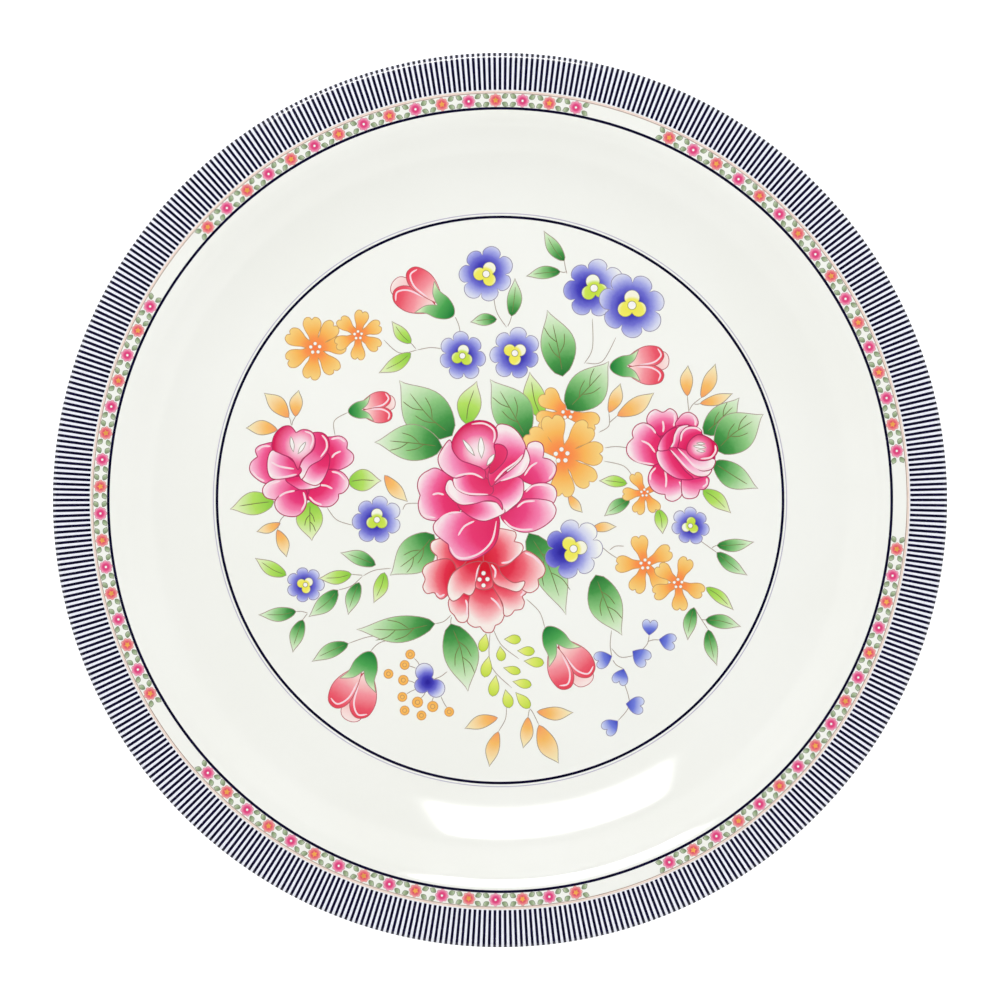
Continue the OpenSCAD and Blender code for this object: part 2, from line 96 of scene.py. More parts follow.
def height_at(r):
    """Height of the fired body's face at a radius."""
    if r < WELL_R:
        return FACE_Z
    if r < SHOULDER_END[0]:
        return SHOULDER_C[1] - SHOULDER_R * math.cos(slope_at(r))
    if r < TURN_END[0]:
        return TURN_C[1] + TURN_R * math.cos(slope_at(r))
    return TURN_END[1] + (r - TURN_END[0]) * math.tan(RIM_SLOPE)


def on_face(r, g):
    """The section point a distance g above the body's face."""
    s = slope_at(r)
    return (r - g * math.sin(s), height_at(r) + g * math.cos(s))


def glaze_height(r, g):
    """Height of a point at radius r, a distance g above the glaze."""
    return height_at(r) + (GLAZE_T + g) / math.cos(slope_at(r))


def arc(centre, r, start, end, steps):
    """Points of a circular arc, angles in radians."""
    angles = [start + (end - start) * i / steps for i in range(steps + 1)]
    return [(centre[0] + r * math.cos(a), centre[1] + r * math.sin(a)) for a in angles]


UP = math.pi / 2


def face_line(g):
    """Section of the upper side from the middle to the edge, a distance g above the body."""
    return (
        [(0.0, FACE_Z + g), (40.0, FACE_Z + g)]
        + arc(SHOULDER_C, SHOULDER_R - g, -UP, STEEP - UP, 40)
        + arc(TURN_C, TURN_R + g, UP + STEEP, UP + RIM_SLOPE, 16)[1:]
        + arc(LIP_C, LIP_R + g, UP + RIM_SLOPE, 0.0, 20)
    )


def under_line(g):
    """Section of the underside from the edge in to the foot ring."""
    return (
        arc(LIP_C, LIP_R + g, 0.0, RIM_SLOPE - UP, 20)
        + arc(TURN_C, TURN_R - WALL_T - g, UP + RIM_SLOPE, UP + STEEP, 16)
        + arc(SHOULDER_C, SHOULDER_R + WALL_T + g, STEEP - UP, -UP, 40)[1:]
    )


def foot_outer_line(g):
    """The hollow curve from the underside down to the outside of the foot ring."""
    return arc((FOOT_OUTER_R + FOOT_FILLET, FOOT_H - FOOT_FILLET), FOOT_FILLET - g, UP, 2 * UP, 8)


def foot_inner_line(g):
    """The hollow curve from the inside of the foot ring up to the recess."""
    return arc((FOOT_INNER_R - FOOT_FILLET, FOOT_H - FOOT_FILLET), FOOT_FILLET - g, 0.0, UP, 8)


def tread_line():
    """The rounded tread that the plate stands on."""
    outer = (FOOT_OUTER_R - TREAD_ROUND, TREAD_ROUND)
    inner = (FOOT_INNER_R + TREAD_ROUND, TREAD_ROUND)
    return arc(outer, TREAD_ROUND, 0.0, -UP, 8) + arc(inner, TREAD_ROUND, -UP, -2 * UP, 8)


# ---------------------------------------------------------------- materials
def linear(rgb):
    """An sRGB colour of 0 to 255 as the linear RGBA that a shader takes."""
    parts = [c / 255 for c in rgb]
    return tuple(c / 12.92 if c <= 0.04045 else ((c + 0.055) / 1.055) ** 2.4 for c in parts) + (1.0,)


def new_material(name):
    """An empty material with its node tree, Principled shader and object coordinates."""
    material = bpy.data.materials.new(name)
    material.use_nodes = True
    tree = material.node_tree
    shader = tree.nodes["Principled BSDF"]
    coords = tree.nodes.new("ShaderNodeTexCoord")
    return material, tree, shader, coords


def noise(tree, coords, scale, detail=2.0):
    """A noise field of the given frequency per metre."""
    node = tree.nodes.new("ShaderNodeTexNoise")
    node.inputs["Scale"].default_value = scale
    node.inputs["Detail"].default_value = detail
    tree.links.new(coords.outputs["Object"], node.inputs["Vector"])
    return node


def ramp(tree, stops):
    """A colour ramp through (position, sRGB colour) stops."""
    node = tree.nodes.new("ShaderNodeValToRGB")
    elements = node.color_ramp.elements
    while len(elements) > 1:
        elements.remove(elements[0])
    elements[0].position = stops[0][0]
    elements[0].color = linear(stops[0][1])
    for position, colour in stops[1:]:
        elements.new(position).color = linear(colour)
    return node


def add_gloss(tree, shader, coords, low, high, wave):
    """Fired gloss: roughness that drifts from place to place and a faint waviness."""
    drift = noise(tree, coords, 55.0)
    spread = tree.nodes.new("ShaderNodeMapRange")
    spread.inputs["To Min"].default_value = low
    spread.inputs["To Max"].default_value = high
    tree.links.new(drift.outputs["Fac"], spread.inputs["Value"])
    tree.links.new(spread.outputs["Result"], shader.inputs["Roughness"])
    ripple = noise(tree, coords, 160.0, 3.0)
    bump = tree.nodes.new("ShaderNodeBump")
    bump.inputs["Strength"].default_value = wave
    bump.inputs["Distance"].default_value = 0.0002
    tree.links.new(ripple.outputs["Fac"], bump.inputs["Height"])
    tree.links.new(bump.outputs["Normal"], shader.inputs["Normal"])
    shader.inputs["IOR"].default_value = 1.5


def glaze_material(name, pale, deep, rim):
    """White glaze whose tint drifts slightly between two near colours, and cools on the rim."""
    material, tree, shader, coords = new_material(name)
    drift = noise(tree, coords, 18.0, 3.0)
    tint = ramp(tree, [(0.35, deep), (0.65, pale)])
    tree.links.new(drift.outputs["Fac"], tint.inputs["Fac"])
    flat = tree.nodes.new("ShaderNodeVectorMath")
    flat.operation = "MULTIPLY"
    flat.inputs[1].default_value = (1.0, 1.0, 0.0)
    tree.links.new(coords.outputs["Object"], flat.inputs[0])
    radius = tree.nodes.new("ShaderNodeVectorMath")
    radius.operation = "LENGTH"
    tree.links.new(flat.outputs["Vector"], radius.inputs[0])
    share = tree.nodes.new("ShaderNodeMapRange")
    share.inputs["From Min"].default_value = 0.1230
    share.inputs["From Max"].default_value = 0.1240
    tree.links.new(radius.outputs["Value"], share.inputs["Value"])
    cool = tree.nodes.new("ShaderNodeMix")
    cool.data_type = "RGBA"
    cool.inputs["B"].default_value = linear(rim)
    tree.links.new(share.outputs["Result"], cool.inputs["Factor"])
    tree.links.new(tint.outputs["Color"], cool.inputs["A"])
    tree.links.new(cool.outputs["Result"], shader.inputs["Base Color"])
    add_gloss(tree, shader, coords, 0.035, 0.06, 0.03)
    return material


def bisque_material():
    """Unglazed fired porcelain: matt, with a fine grain and faint specks."""
    material, tree, shader, coords = new_material("bisque")
    specks = noise(tree, coords, 2400.0, 4.0)
    tint = ramp(tree, [(0.3, (205, 198, 184)), (0.42, (229, 225, 214)), (0.7, (238, 235, 226))])
    tree.links.new(specks.outputs["Fac"], tint.inputs["Fac"])
    tree.links.new(tint.outputs["Color"], shader.inputs["Base Color"])
    grain = noise(tree, coords, 5200.0, 2.0)
    bump = tree.nodes.new("ShaderNodeBump")
    bump.inputs["Strength"].default_value = 0.35
    bump.inputs["Distance"].default_value = 0.00005
    tree.links.new(grain.outputs["Fac"], bump.inputs["Height"])
    tree.links.new(bump.outputs["Normal"], shader.inputs["Normal"])
    shader.inputs["Roughness"].default_value = 0.75
    return material


def line_ink(name, pale, deep):
    """One printed colour with a slight unevenness, under the flux's gloss."""
    material, tree, shader, coords = new_material(name)
    drift = noise(tree, coords, 420.0, 3.0)
    tint = ramp(tree, [(0.3, deep), (0.7, pale)])
    tree.links.new(drift.outputs["Fac"], tint.inputs["Fac"])
    tree.links.new(tint.outputs["Color"], shader.inputs["Base Color"])
    add_gloss(tree, shader, coords, 0.035, 0.06, 0.03)
    return material


# ---------------------------------------------------------------- meshes
def add_piece(name, points, faces, material, nodes, shadings=None):
    """Makes one mesh piece from points in millimetres, riding on the plate.

    shadings gives each face the six numbers that turn a point into its shading coordinates.
    """
    mesh = bpy.data.meshes.new(name)
    mesh.from_pydata([[c * MM for c in p] for p in points], [], faces)
    mesh.materials.append(material)
    solid = bmesh.new()
    solid.from_mesh(mesh)
    bmesh.ops.recalc_face_normals(solid, faces=solid.faces)
    solid.to_mesh(mesh)
    solid.free()
    mesh.polygons.foreach_set("use_smooth", [True] * len(mesh.polygons))
    mesh.set_sharp_from_angle(angle=math.radians(35))
    if shadings:
        layer = mesh.uv_layers.new(name="shading")
        for face, (a, b, c, d, e, f) in zip(mesh.polygons, shadings):
            for loop in face.loop_indices:
                x, y, _ = points[mesh.loops[loop].vertex_index]
                layer.data[loop].uv = (a * x + b * y + c, d * x + e * y + f)
    piece = bpy.data.objects.new(name, mesh)
    bpy.context.scene.collection.objects.link(piece)
    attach(piece, "root")
    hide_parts(*nodes)
    return piece


def revolve(name, section, material, nodes):
    """A ring-shaped solid from a closed section line. Points on the axis become one vertex."""
    points, rings = [], []
    for r, z in section:
        count = RING_SEGMENTS if r > 0.001 else 1
        rings.append(range(len(points), len(points) + count))
        for i in range(count):
            a = 2 * math.pi * i / RING_SEGMENTS
            points.append((r * math.cos(a), r * math.sin(a), z))
    faces = []
    for k in range(len(rings)):
        here, there = rings[k], rings[(k + 1) % len(rings)]
        if len(here) == 1 and len(there) == 1:
            continue
        for i in range(RING_SEGMENTS):
            j = (i + 1) % RING_SEGMENTS
            if len(here) == 1:
                faces.append((here[0], there[j], there[i]))
            elif len(there) == 1:
                faces.append((here[i], here[j], there[0]))
            else:
                faces.append((here[i], here[j], there[j], there[i]))
    return add_piece(name, points, faces, material, nodes)


def ring_band(name, r, width, material, nodes):
    """A printed ring that lies on the glaze."""
    steps = 4
    radii = [r - width / 2 + width * i / steps for i in range(steps + 1)]
    top = [on_face(q, GLAZE_T + RELIEF) for q in radii]
    bottom = [on_face(q, GLAZE_T - SINK) for q in radii]
    return revolve(name, top + bottom[::-1], material, nodes)


# ---------------------------------------------------------------- drawing flat shapes
def pairs(flat):
    """A flat list of numbers as points."""
    return [(flat[i], flat[i + 1]) for i in range(0, len(flat), 2)]


def spline(points, closed, steps=5):
    """A smooth curve through the points. A point given twice in a row makes a corner."""
    count = len(points)
    curve = []
    for i in range(count if closed else count - 1):
        if closed:
            a, b, c, d = (points[(i + k) % count] for k in (-1, 0, 1, 2))
        else:
            a, b, c, d = (points[min(max(i + k, 0), count - 1)] for k in (-1, 0, 1, 2))
        if b == c:
            continue
        for s in range(steps):
            t = s / steps
            shares = (
                -t + 2 * t ** 2 - t ** 3, 2 - 5 * t ** 2 + 3 * t ** 3,
                t + 4 * t ** 2 - 3 * t ** 3, t ** 3 - t ** 2)
            curve.append(tuple(sum(q * p[k] for q, p in zip(shares, (a, b, c, d))) / 2 for k in (0, 1)))
    if not closed:
        curve.append(points[-1])
    return curve


def side_of(before, after):
    """The unit vector to the left of the way from one point to another."""
    dx, dy = after[0] - before[0], after[1] - before[1]
    length = math.hypot(dx, dy) or 1.0
    return -dy / length, dx / length


def anticlockwise(outline):
    """The closed outline in anticlockwise order."""
    turns = zip(outline[-1:] + outline[:-1], outline)
    area = sum(a[0] * b[1] - b[0] * a[1] for a, b in turns)
    return outline if area > 0 else outline[::-1]


def grown(outline, d):
    """The closed outline moved outwards by d."""
    outline = anticlockwise(outline)
    count = len(outline)
    moved = []
    for i, p in enumerate(outline):
        nx, ny = side_of(outline[i - 1], outline[(i + 1) % count])
        moved.append((p[0] - d * nx, p[1] - d * ny))
    return moved


def stroke(line, width):
    """An open line as a thin closed shape that narrows to round ends."""
    count = len(line) - 1
    left, right = [], []
    for i, p in enumerate(line):
        nx, ny = side_of(line[max(i - 1, 0)], line[min(i + 1, count)])
        ends = min(i, count - i) / max(count, 1)
        half = width / 2 * min(1.0, 0.3 + 5 * ends)
        left.append((p[0] + half * nx, p[1] + half * ny))
        right.append((p[0] - half * nx, p[1] - half * ny))
    return left + right[::-1]


def placed(outline, x, y, turn, size=1.0):
    """An outline scaled, turned by so many degrees and moved to (x, y)."""
    c, s = math.cos(math.radians(turn)), math.sin(math.radians(turn))
    return [(x + size * (px * c - py * s), y + size * (px * s + py * c)) for px, py in outline]


def circle(x, y, r, count=20):
    """A round outline."""
    angles = [2 * math.pi * i / count for i in range(count)]
    return [(x + r * math.cos(a), y + r * math.sin(a)) for a in angles]


def along(outline, turn, shift=0.0):
    """Shading that runs from 0 to 1 across the outline in a direction, and from -1 to 1 to its sides."""
    c, s = math.cos(math.radians(turn)), math.sin(math.radians(turn))
    us = [x * c + y * s for x, y in outline]
    vs = [y * c - x * s for x, y in outline]
    length = max(us) - min(us)
    half = (max(vs) - min(vs)) / 2
    middle = (max(vs) + min(vs)) / 2
    return (c / length, s / length, shift - min(us) / length, -s / half, c / half, -middle / half)


def around(x, y, r, turn=0.0):
    """Shading that runs outwards from a centre, 1 at radius r."""
    c, s = math.cos(math.radians(turn)) / r, math.sin(math.radians(turn)) / r
    return (c, s, -(x * c + y * s), -s, c, x * s - y * c)


def inside(outline, places):
    """Which of an array of places the closed outline winds round, as their indices."""
    ring = numpy.array(outline)
    low, high = ring.min(axis=0), ring.max(axis=0)
    near = numpy.nonzero(((places > low) & (places < high)).all(axis=1))[0]
    x, y = places[near].T
    winding = numpy.zeros(len(near), int)
    for (ax, ay), (bx, by) in zip(ring, numpy.roll(ring, -1, axis=0)):
        left = (bx - ax) * (y - ay) - (x - ax) * (by - ay)
        winding += (ay <= y) & (by > y) & (left > 0)
        winding -= (ay > y) & (by <= y) & (left < 0)
    return near[winding != 0]


# The shading of an ink that doesn't change over its shape
PLAIN = (0, 0, 0, 0, 0, 0)


class Painting:
    """Flat shapes painted one over another. Where they overlap, the later one shows."""

    def __init__(self):
        self.shapes = []

    def fill(self, outline, ink, shading=PLAIN):
        """Paints a closed outline in an ink."""
        self.shapes.append((anticlockwise(outline), ink, shading))

    def keyed(self, outline, ink, shading, key, width):
        """Paints a closed outline in an ink with a thin key line round it."""
        self.fill(grown(outline, width / 2), key)
        self.fill(grown(outline, -width / 2), ink, shading)

    def light(self, points, width=0.5, ink="rose_light"):
        """Paints a pale stroke through the points."""
        self.fill(stroke(spline(pairs(points), False, 6), width), ink)

    def triangles(self):
        """The visible triangles of every ink, as {ink: [(corner indices, shading)]}, and the points."""
        points, edges = [], []
        for outline, _, _ in self.shapes:
            start, count = len(points), len(outline)
            edges.extend((start + i, start + (i + 1) % count) for i in range(count))
            points.extend(Vector(p) for p in outline)
        points, _, faces, _, _, _ = delaunay_2d_cdt(points, edges, [], 0, 1e-5, False)
        flat = numpy.array([tuple(p) for p in points])
        centres = flat[numpy.array(faces)].mean(axis=1)
        owners = numpy.full(len(faces), -1)
        for k, (outline, _, _) in enumerate(self.shapes):
            owners[inside(outline, centres)] = k
        shown = {}
        for face, owner in zip(faces, owners):
            if owner >= 0:
                _, ink, shading = self.shapes[owner]
                shown.setdefault(ink, []).append((face, shading))
        return points, shown

    def make_pieces(self, prefix, inks):
        """Makes a thin solid on the glaze from the visible shapes of each ink."""
        points, shown = self.triangles()
        for ink, faces in shown.items():
            material, slot, nodes = inks[ink]
            make_layer(prefix + ink, points, faces, material, nodes)


def make_layer(name, points, faces, material, nodes):
    """A thin solid from flat triangles: its top just above the glaze and its foot just in it."""
    used = sorted({i for face, _ in faces for i in face})
    top = {i: k for k, i in enumerate(used)}
    deep = len(used)
    solid_points = []
    for g in (RELIEF, -SINK):
        for i in used:
            x, y = points[i]
            solid_points.append((x, y, glaze_height(math.hypot(x, y), g)))
    solid_faces, shadings, edges = [], [], set()
    for face, shading in faces:
        corners = [top[i] for i in face]
        solid_faces.append(corners)
        solid_faces.append([c + deep for c in corners[::-1]])
        shadings.extend((shading, shading))
        for k in range(len(corners)):
            edges.add((corners[k], corners[(k + 1) % len(corners)], shading))
    ways = {(a, b) for a, b, _ in edges}
    for a, b, shading in edges:
        if (b, a) not in ways:
            solid_faces.append((b, a, a + deep, b + deep))
            shadings.append(shading)
    add_piece(name, solid_points, solid_faces, material, nodes, shadings)


# ---------------------------------------------------------------- the plate itself
def make_body(bisque, glaze, foot_glaze):
    """The fired body and its three glaze coats."""
    section = face_line(0) + under_line(0)[1:] + foot_outer_line(0) + tread_line() + foot_inner_line(0)
    revolve("porcelain_body_fired", section + [(0.0, FOOT_H)], bisque, ["porcelain_body"])
    face = face_line(GLAZE_T) + face_line(0)[::-1]
    revolve("face_glaze_coat", face, glaze, ["face_glaze"])
    outside = under_line(GLAZE_T) + foot_outer_line(GLAZE_T) + [(FOOT_OUTER_R + GLAZE_T, GLAZE_STOP)]
    back = [(FOOT_OUTER_R, GLAZE_STOP)] + foot_outer_line(0)[::-1] + under_line(0)[::-1]
    revolve("back_glaze_coat", outside + back, foot_glaze, ["back_glaze"])
    recess = [(FOOT_INNER_R - GLAZE_T, GLAZE_STOP)] + foot_inner_line(GLAZE_T)
    recess += [(0.0, FOOT_H - GLAZE_T), (0.0, FOOT_H)] + foot_inner_line(0)[::-1]
    recess += [(FOOT_INNER_R, GLAZE_STOP)]
    revolve("recess_glaze_coat", recess, foot_glaze, ["recess_glaze"])


STRIPE_COUNT = 516
STRIPE_W = 0.82
STRIPE_R = 123.75
STRIPE_LIP_END = math.radians(16)


def stripe_line(g):
    """Section of a stripe from its inner end out and over the lip, a distance g above the body."""
    flat = [on_face(STRIPE_R + (LIP_START_X - STRIPE_R) * i / 3, g) for i in range(3)]
    return flat + arc(LIP_C, LIP_R + g, UP + RIM_SLOPE, STRIPE_LIP_END, 9)


def make_stripes(material):
    """The fine radial stripes, each a thin bar."""
    section = stripe_line(GLAZE_T + RELIEF) + stripe_line(GLAZE_T - SINK)[::-1]
    count = len(section)
    half = count // 2
    points, faces = [], []
    for i in range(STRIPE_COUNT):
        a = 2 * math.pi * i / STRIPE_COUNT
        start = len(points)
        for side in (-STRIPE_W / 2, STRIPE_W / 2):
            for r, z in section:
                x = r * math.cos(a) - side * math.sin(a)
                y = r * math.sin(a) + side * math.cos(a)
                points.append((x, y, z))
        for k in range(count):
            j = (k + 1) % count
            faces.append((start + k, start + j, start + count + j, start + count + k))
        for k in range(half - 1):
            quad = [start + k, start + k + 1, start + count - 2 - k, start + count - 1 - k]
            faces.append(quad)
            faces.append([q + count for q in quad[::-1]])
    add_piece("rim_stripes_navy", points, faces, material, ["rim_stripes"])


# Printed rings: name, radius, width, colour, CAD node
RINGS = [
    ("stripe_edge_peach", 123.2, 0.62, "peach", "stripe_edge_line"),
    ("border_fine_brown", 122.8, 0.2, "brown", "border_fine_line"),
    ("rim_line_navy", 118.2, 0.8, "navy", "rim_line"),
    ("well_line_navy", 85.8, 0.8, "navy", "well_line"),
    ("well_fine_grey", 86.9, 0.3, "grey", "well_fine_line"),
]


def make_rings(navy, peach, brown, grey):
    """The printed rings of the rim and the well."""
    colours = {"navy": navy, "peach": peach, "brown": brown, "grey": grey}
    for name, radius, width, colour, node in RINGS:
        ring_band(name, radius, width, colours[colour], [node])


# ---------------------------------------------------------------- the bouquet's layout
# Width of the fine key lines, and how far a pansy's shading reaches in its own radii
KEY = 0.22
PANSY_REACH = 1.3

# Petals from back to front: (ink, outline points, way it pales, shift of the shading, pale strokes)
BIG_ROSE = [
    ("rose_deep", [-9, 8, -2, 10, 4, 7, 5, 2, 1, -4, -5, -5, -11, -2, -13, 4], 90, 0, []),
    ("rose", [-18.5, 9.4, -22, 8.8, -24.4, 6.8, -25, 4, -24.2, 1.4, -24.2, 1.4, -24.8, -1.4, -24, -4.4,
     -21.6, -6, -17, -6, -12, -3, -12, 4], 176, -0.05, [[-24, 0.2, -24, -3, -22.4, -4.8, -19.6, -5.4],
     [-20.5, 1.6, -18.8, 2, -17, 1.6]]),
    ("magenta", [5, 8, 7.8, 14.6, 8.6, 17, 10.8, 17.8, 12.7, 17, 13.3, 15, 13, 12.8, 13, 12.8, 15.2, 12.2,
     16.8, 10.6, 16.9, 8.4, 15, 5.8, 10, 4.6], 48, 0, [[7.4, 7.4, 9.2, 10, 11.3, 11.4], [16.2, 10.2,
     16.2, 8.3, 14.8, 6.4]]),
    ("magenta", [5, 1, 8, 3, 10.2, 4.8, 13.4, 5.2, 16.2, 4.2, 17.2, 2.2, 16.8, 0.2, 15.6, -1.2, 10, -3,
     5, -2], -8, -0.02, [[7.8, 2.4, 9.8, 4.2, 12.6, 4.6, 15, 4]]),
    ("magenta", [1, -4.2, 4.6, -2, 6.6, 0, 10, 0.4, 14, 0, 15.8, -0.6, 15.8, -0.6, 17, -2.8, 16.2, -5.4,
     13.6, -7.8, 10, -9.5, 6.4, -9.7, 3, -8.2, 0.4, -5.6], -16, -0.08, [[1.2, -6, 3.2, -8, 6.4, -9,
     10, -8.8], [5.2, -2.2, 7.4, -0.6, 10.6, -0.3]]),
    ("rose", [-12, -3.6, -17, -4.8, -20, -7.2, -19.6, -10.2, -15.7, -13.4, -15.7, -13.4, -15, -16,
     -12.6, -18.2, -9, -18.2, -5, -16.6, -1.8, -13.8, -0.4, -10, -0.4, -5, -4, -2.6], 196, -0.08,
     [[-19.2, -8.2, -18, -5.6, -15.2, -4, -11.8, -3.7], [-7.8, -6.4, -10.8, -8, -12.7, -10.8],
     [-15.1, -14.2, -13.6, -16.8, -10.6, -17.6, -6, -16, -2.4, -12.2, -1.1, -6.4]]),
    ("rose", [-4, 3.8, -1, 5.6, 3.6, 7, 6.6, 6.4, 7.2, 3, 6.2, 0, 3.6, -2.4, 1.2, -4, 0.6, -2, -2, -0.2,
     -6, 1], -58, 0.04, []),
    ("rose", [-12.6, -1, -9, -1.4, -5, -0.4, -1, -0.8, 1.2, -2.6, 1.2, -4, -2, -5.6, -5, -6.4, -8.4, -5.4,
     -12, -2.8], -14, 0.1, [[-0.2, -1.4, 1, -2.6, 1, -4]]),
    ("rose_pale", [-16, 5.6, -16.6, 3, -15, 0.6, -12, -1.4, -8, -1.2, -4, -0.2, -1, -0.8, 0.8, -3,
     0.2, -0.4, -3, 1.4, -9, 1.4, -13, 3.4, -14.6, 6], 205, 0.1, [[-15.8, 4.8, -15.8, 2.6, -14, 0.4,
     -11.4, -1, -8, -0.8]]),
    ("rose", [-14.3, 6.2, -13.4, 3.6, -10, 1.7, -3.4, 1.5, -2, 3.4, -4, 6.6, -9, 8.6, -13, 7], 215, -0.12,
     [[-14, 5.6, -12.8, 3.4, -9.4, 1.9, -3.6, 1.7]]),
    ("rose_pale", [-15.3, 18.2, -17.6, 15.4, -18.8, 12.4, -17.6, 9.2, -14.2, 6.8, -12, 6.9, -9, 8,
     -6.6, 7.6, -4.8, 6.2, -4.6, 9, -9, 11.4, -12, 12.6, -14.2, 16], 196, -0.08, [[-13.6, 7.1, -11, 7.8,
     -8, 7.9, -5.2, 6.6], [-18, 12.6, -16.9, 15.6, -15.6, 17.2]]),
    ("rose", [-1, 22.4, 2, 22.8, 5, 21, 7.4, 17.4, 7.6, 14.6, 5, 11.4, 1.4, 8.4, -1, 5.6, -2.8, 4.2,
     -3.6, 8, -1.6, 12, -1.8, 17], 108, 0.06, [[7, 13.8, 5, 11.6, 1.2, 8.9, -1.6, 5.8]]),
    ("rose_pale", [7.8, 15.6, 9, 13, 8.8, 10.8, 7, 8, 4, 6.6, 0.4, 5.7, -1.8, 4.6, -0.4, 6.4, 3.6, 9.4,
     6.8, 12.6], -30, 0.2, [[8.4, 11.6, 6.8, 8.6, 4, 7.1, 0.2, 5.8]]),
    ("rose_deep", [-1.6, 16.8, 0.8, 16.6, 2.2, 14.8, 1.6, 12.2, -0.6, 9.6, -3, 8, -3, 11, -1.6, 14], 70,
     0, []),
    ("rose_heart", [-14.5, 15.6, -14, 19, -11.2, 22.4, -7.6, 24, -4, 23.8, -1.4, 22, -0.8, 19.4,
     -1.8, 16.6, -1.4, 13.6, -3, 10.8, -4.6, 9.2, -6.2, 10, -9, 11, -12.2, 12.3], (-6.6, 15, 8.6), 0,
     [[-8.6, 23, -5, 23.2, -2.2, 21.6, -1.6, 19.4, -2.1, 17.3]]),
]
LEFT_ROSE = [
    ("rose_deep", [-67, 12, -60, 14, -54, 10, -53, 5, -58, 0, -64, 2, -68, 6], 90, 0, []),
    ("rose", [-67, 17, -72, 16.8, -74.1, 15.3, -73.5, 13.1, -73.5, 13.1, -75.5, 11.3, -75.8, 8.8,
     -74, 6.6, -71, 5, -66, 5, -64, 10], 182, -0.1, [[-69.6, 16.3, -72, 16.2, -73.5, 15], [-75.1, 8.8,
     -73.6, 6.9, -71.4, 5.7]]),
    ("rose", [-54, 18, -50.6, 19.2, -48.2, 19.3, -46.4, 17.8, -46.4, 15.6, -46.4, 15.6, -44.5, 13.8,
     -44.7, 11.6, -47, 9.8, -50, 9, -55, 10], 14, -0.12, [[-51.2, 18.4, -48.8, 18.8, -47, 17.6],
     [-51, 12.8, -50, 14, -48.2, 14.8]]),
    ("rose", [-52, 9.2, -48.2, 8.6, -46, 6.2, -46, 4, -47.4, 2.3, -48.9, 1.8, -48.9, 1.8, -49.2, 0,
     -51.2, -1.8, -54.2, -2, -57.2, -0.6, -59, 2, -57, 6], -36, -0.1, [[-51, 8.6, -48.8, 8, -46.8, 6],
     [-54.6, 4.5, -52.6, 4.3, -50.8, 3.4], [-57.8, 1, -56.2, -0.6, -54, -1.5]]),
    ("magenta", [-60, 6.8, -67, 6.4, -70.6, 5.2, -72, 3, -71, 0.8, -68, 0, -63, -1, -58, 2], 188, 0,
     [[-71.2, 2.6, -70, 4.6, -66.6, 5.8]]),
    ("magenta", [-58.8, 3, -63, 2.6, -66.4, 1.6, -68.2, -0.4, -67.8, -2.8, -65.6, -4.6, -62, -5,
     -59.6, -3.4, -58.6, -0.8], 232, -0.1, [[-67, 1, -65, 2.2, -62.2, 2.8], [-59.6, 2.4, -59, -0.6,
     -60.2, -3.2]]),
    ("rose", [-65, 6.2, -62, 3.8, -60, 3.1, -56, 3.6, -54.4, 4.6, -57, 6.6, -61, 7.2], -50, 0.1, []),
    ("rose", [-52, 14, -51.6, 12, -52.2, 9, -54, 5.6, -56.2, 4.4, -59.6, 5.8, -60.6, 8, -58, 11,
     -54, 13.4], 236, 0, []),
    ("rose_pale", [-57, 20.2, -54, 20.4, -52, 18.6, -51.9, 15.4, -54, 12.4, -57.6, 10.2, -59.4, 7,
     -60.4, 6.4, -61, 9, -59.6, 12.4, -56.6, 15.2, -56, 18], 216, -0.08, [[-54, 19.7, -52.7, 18,
     -52.6, 15.6, -54.4, 13]]),
    ("rose_pale", [-69.2, 15, -70.5, 12, -70.3, 8.2, -68.8, 6.4, -65, 6.5, -61.4, 7.4, -60.2, 9.4,
     -63, 12, -66, 14.4], 188, -0.05, [[-69.4, 11.6, -66.8, 10.2, -62.4, 9.4], [-69.2, 7.1, -66, 6.9,
     -61.6, 7.8]]),
    ("rose_heart", [-69, 15.6, -68.5, 19.4, -66.2, 22, -63.6, 22.4, -61.8, 20.4, -61.8, 20.4, -59.6, 21.4,
     -57, 20.6, -56, 18, -57, 15, -60, 12.2, -61.2, 9.2, -63, 12.4, -66.4, 14], (-60.6, 16.4, 8.2), 0,
     [[-59.2, 20.8, -57.2, 20, -56.7, 18, -57.6, 15.4]]),
]
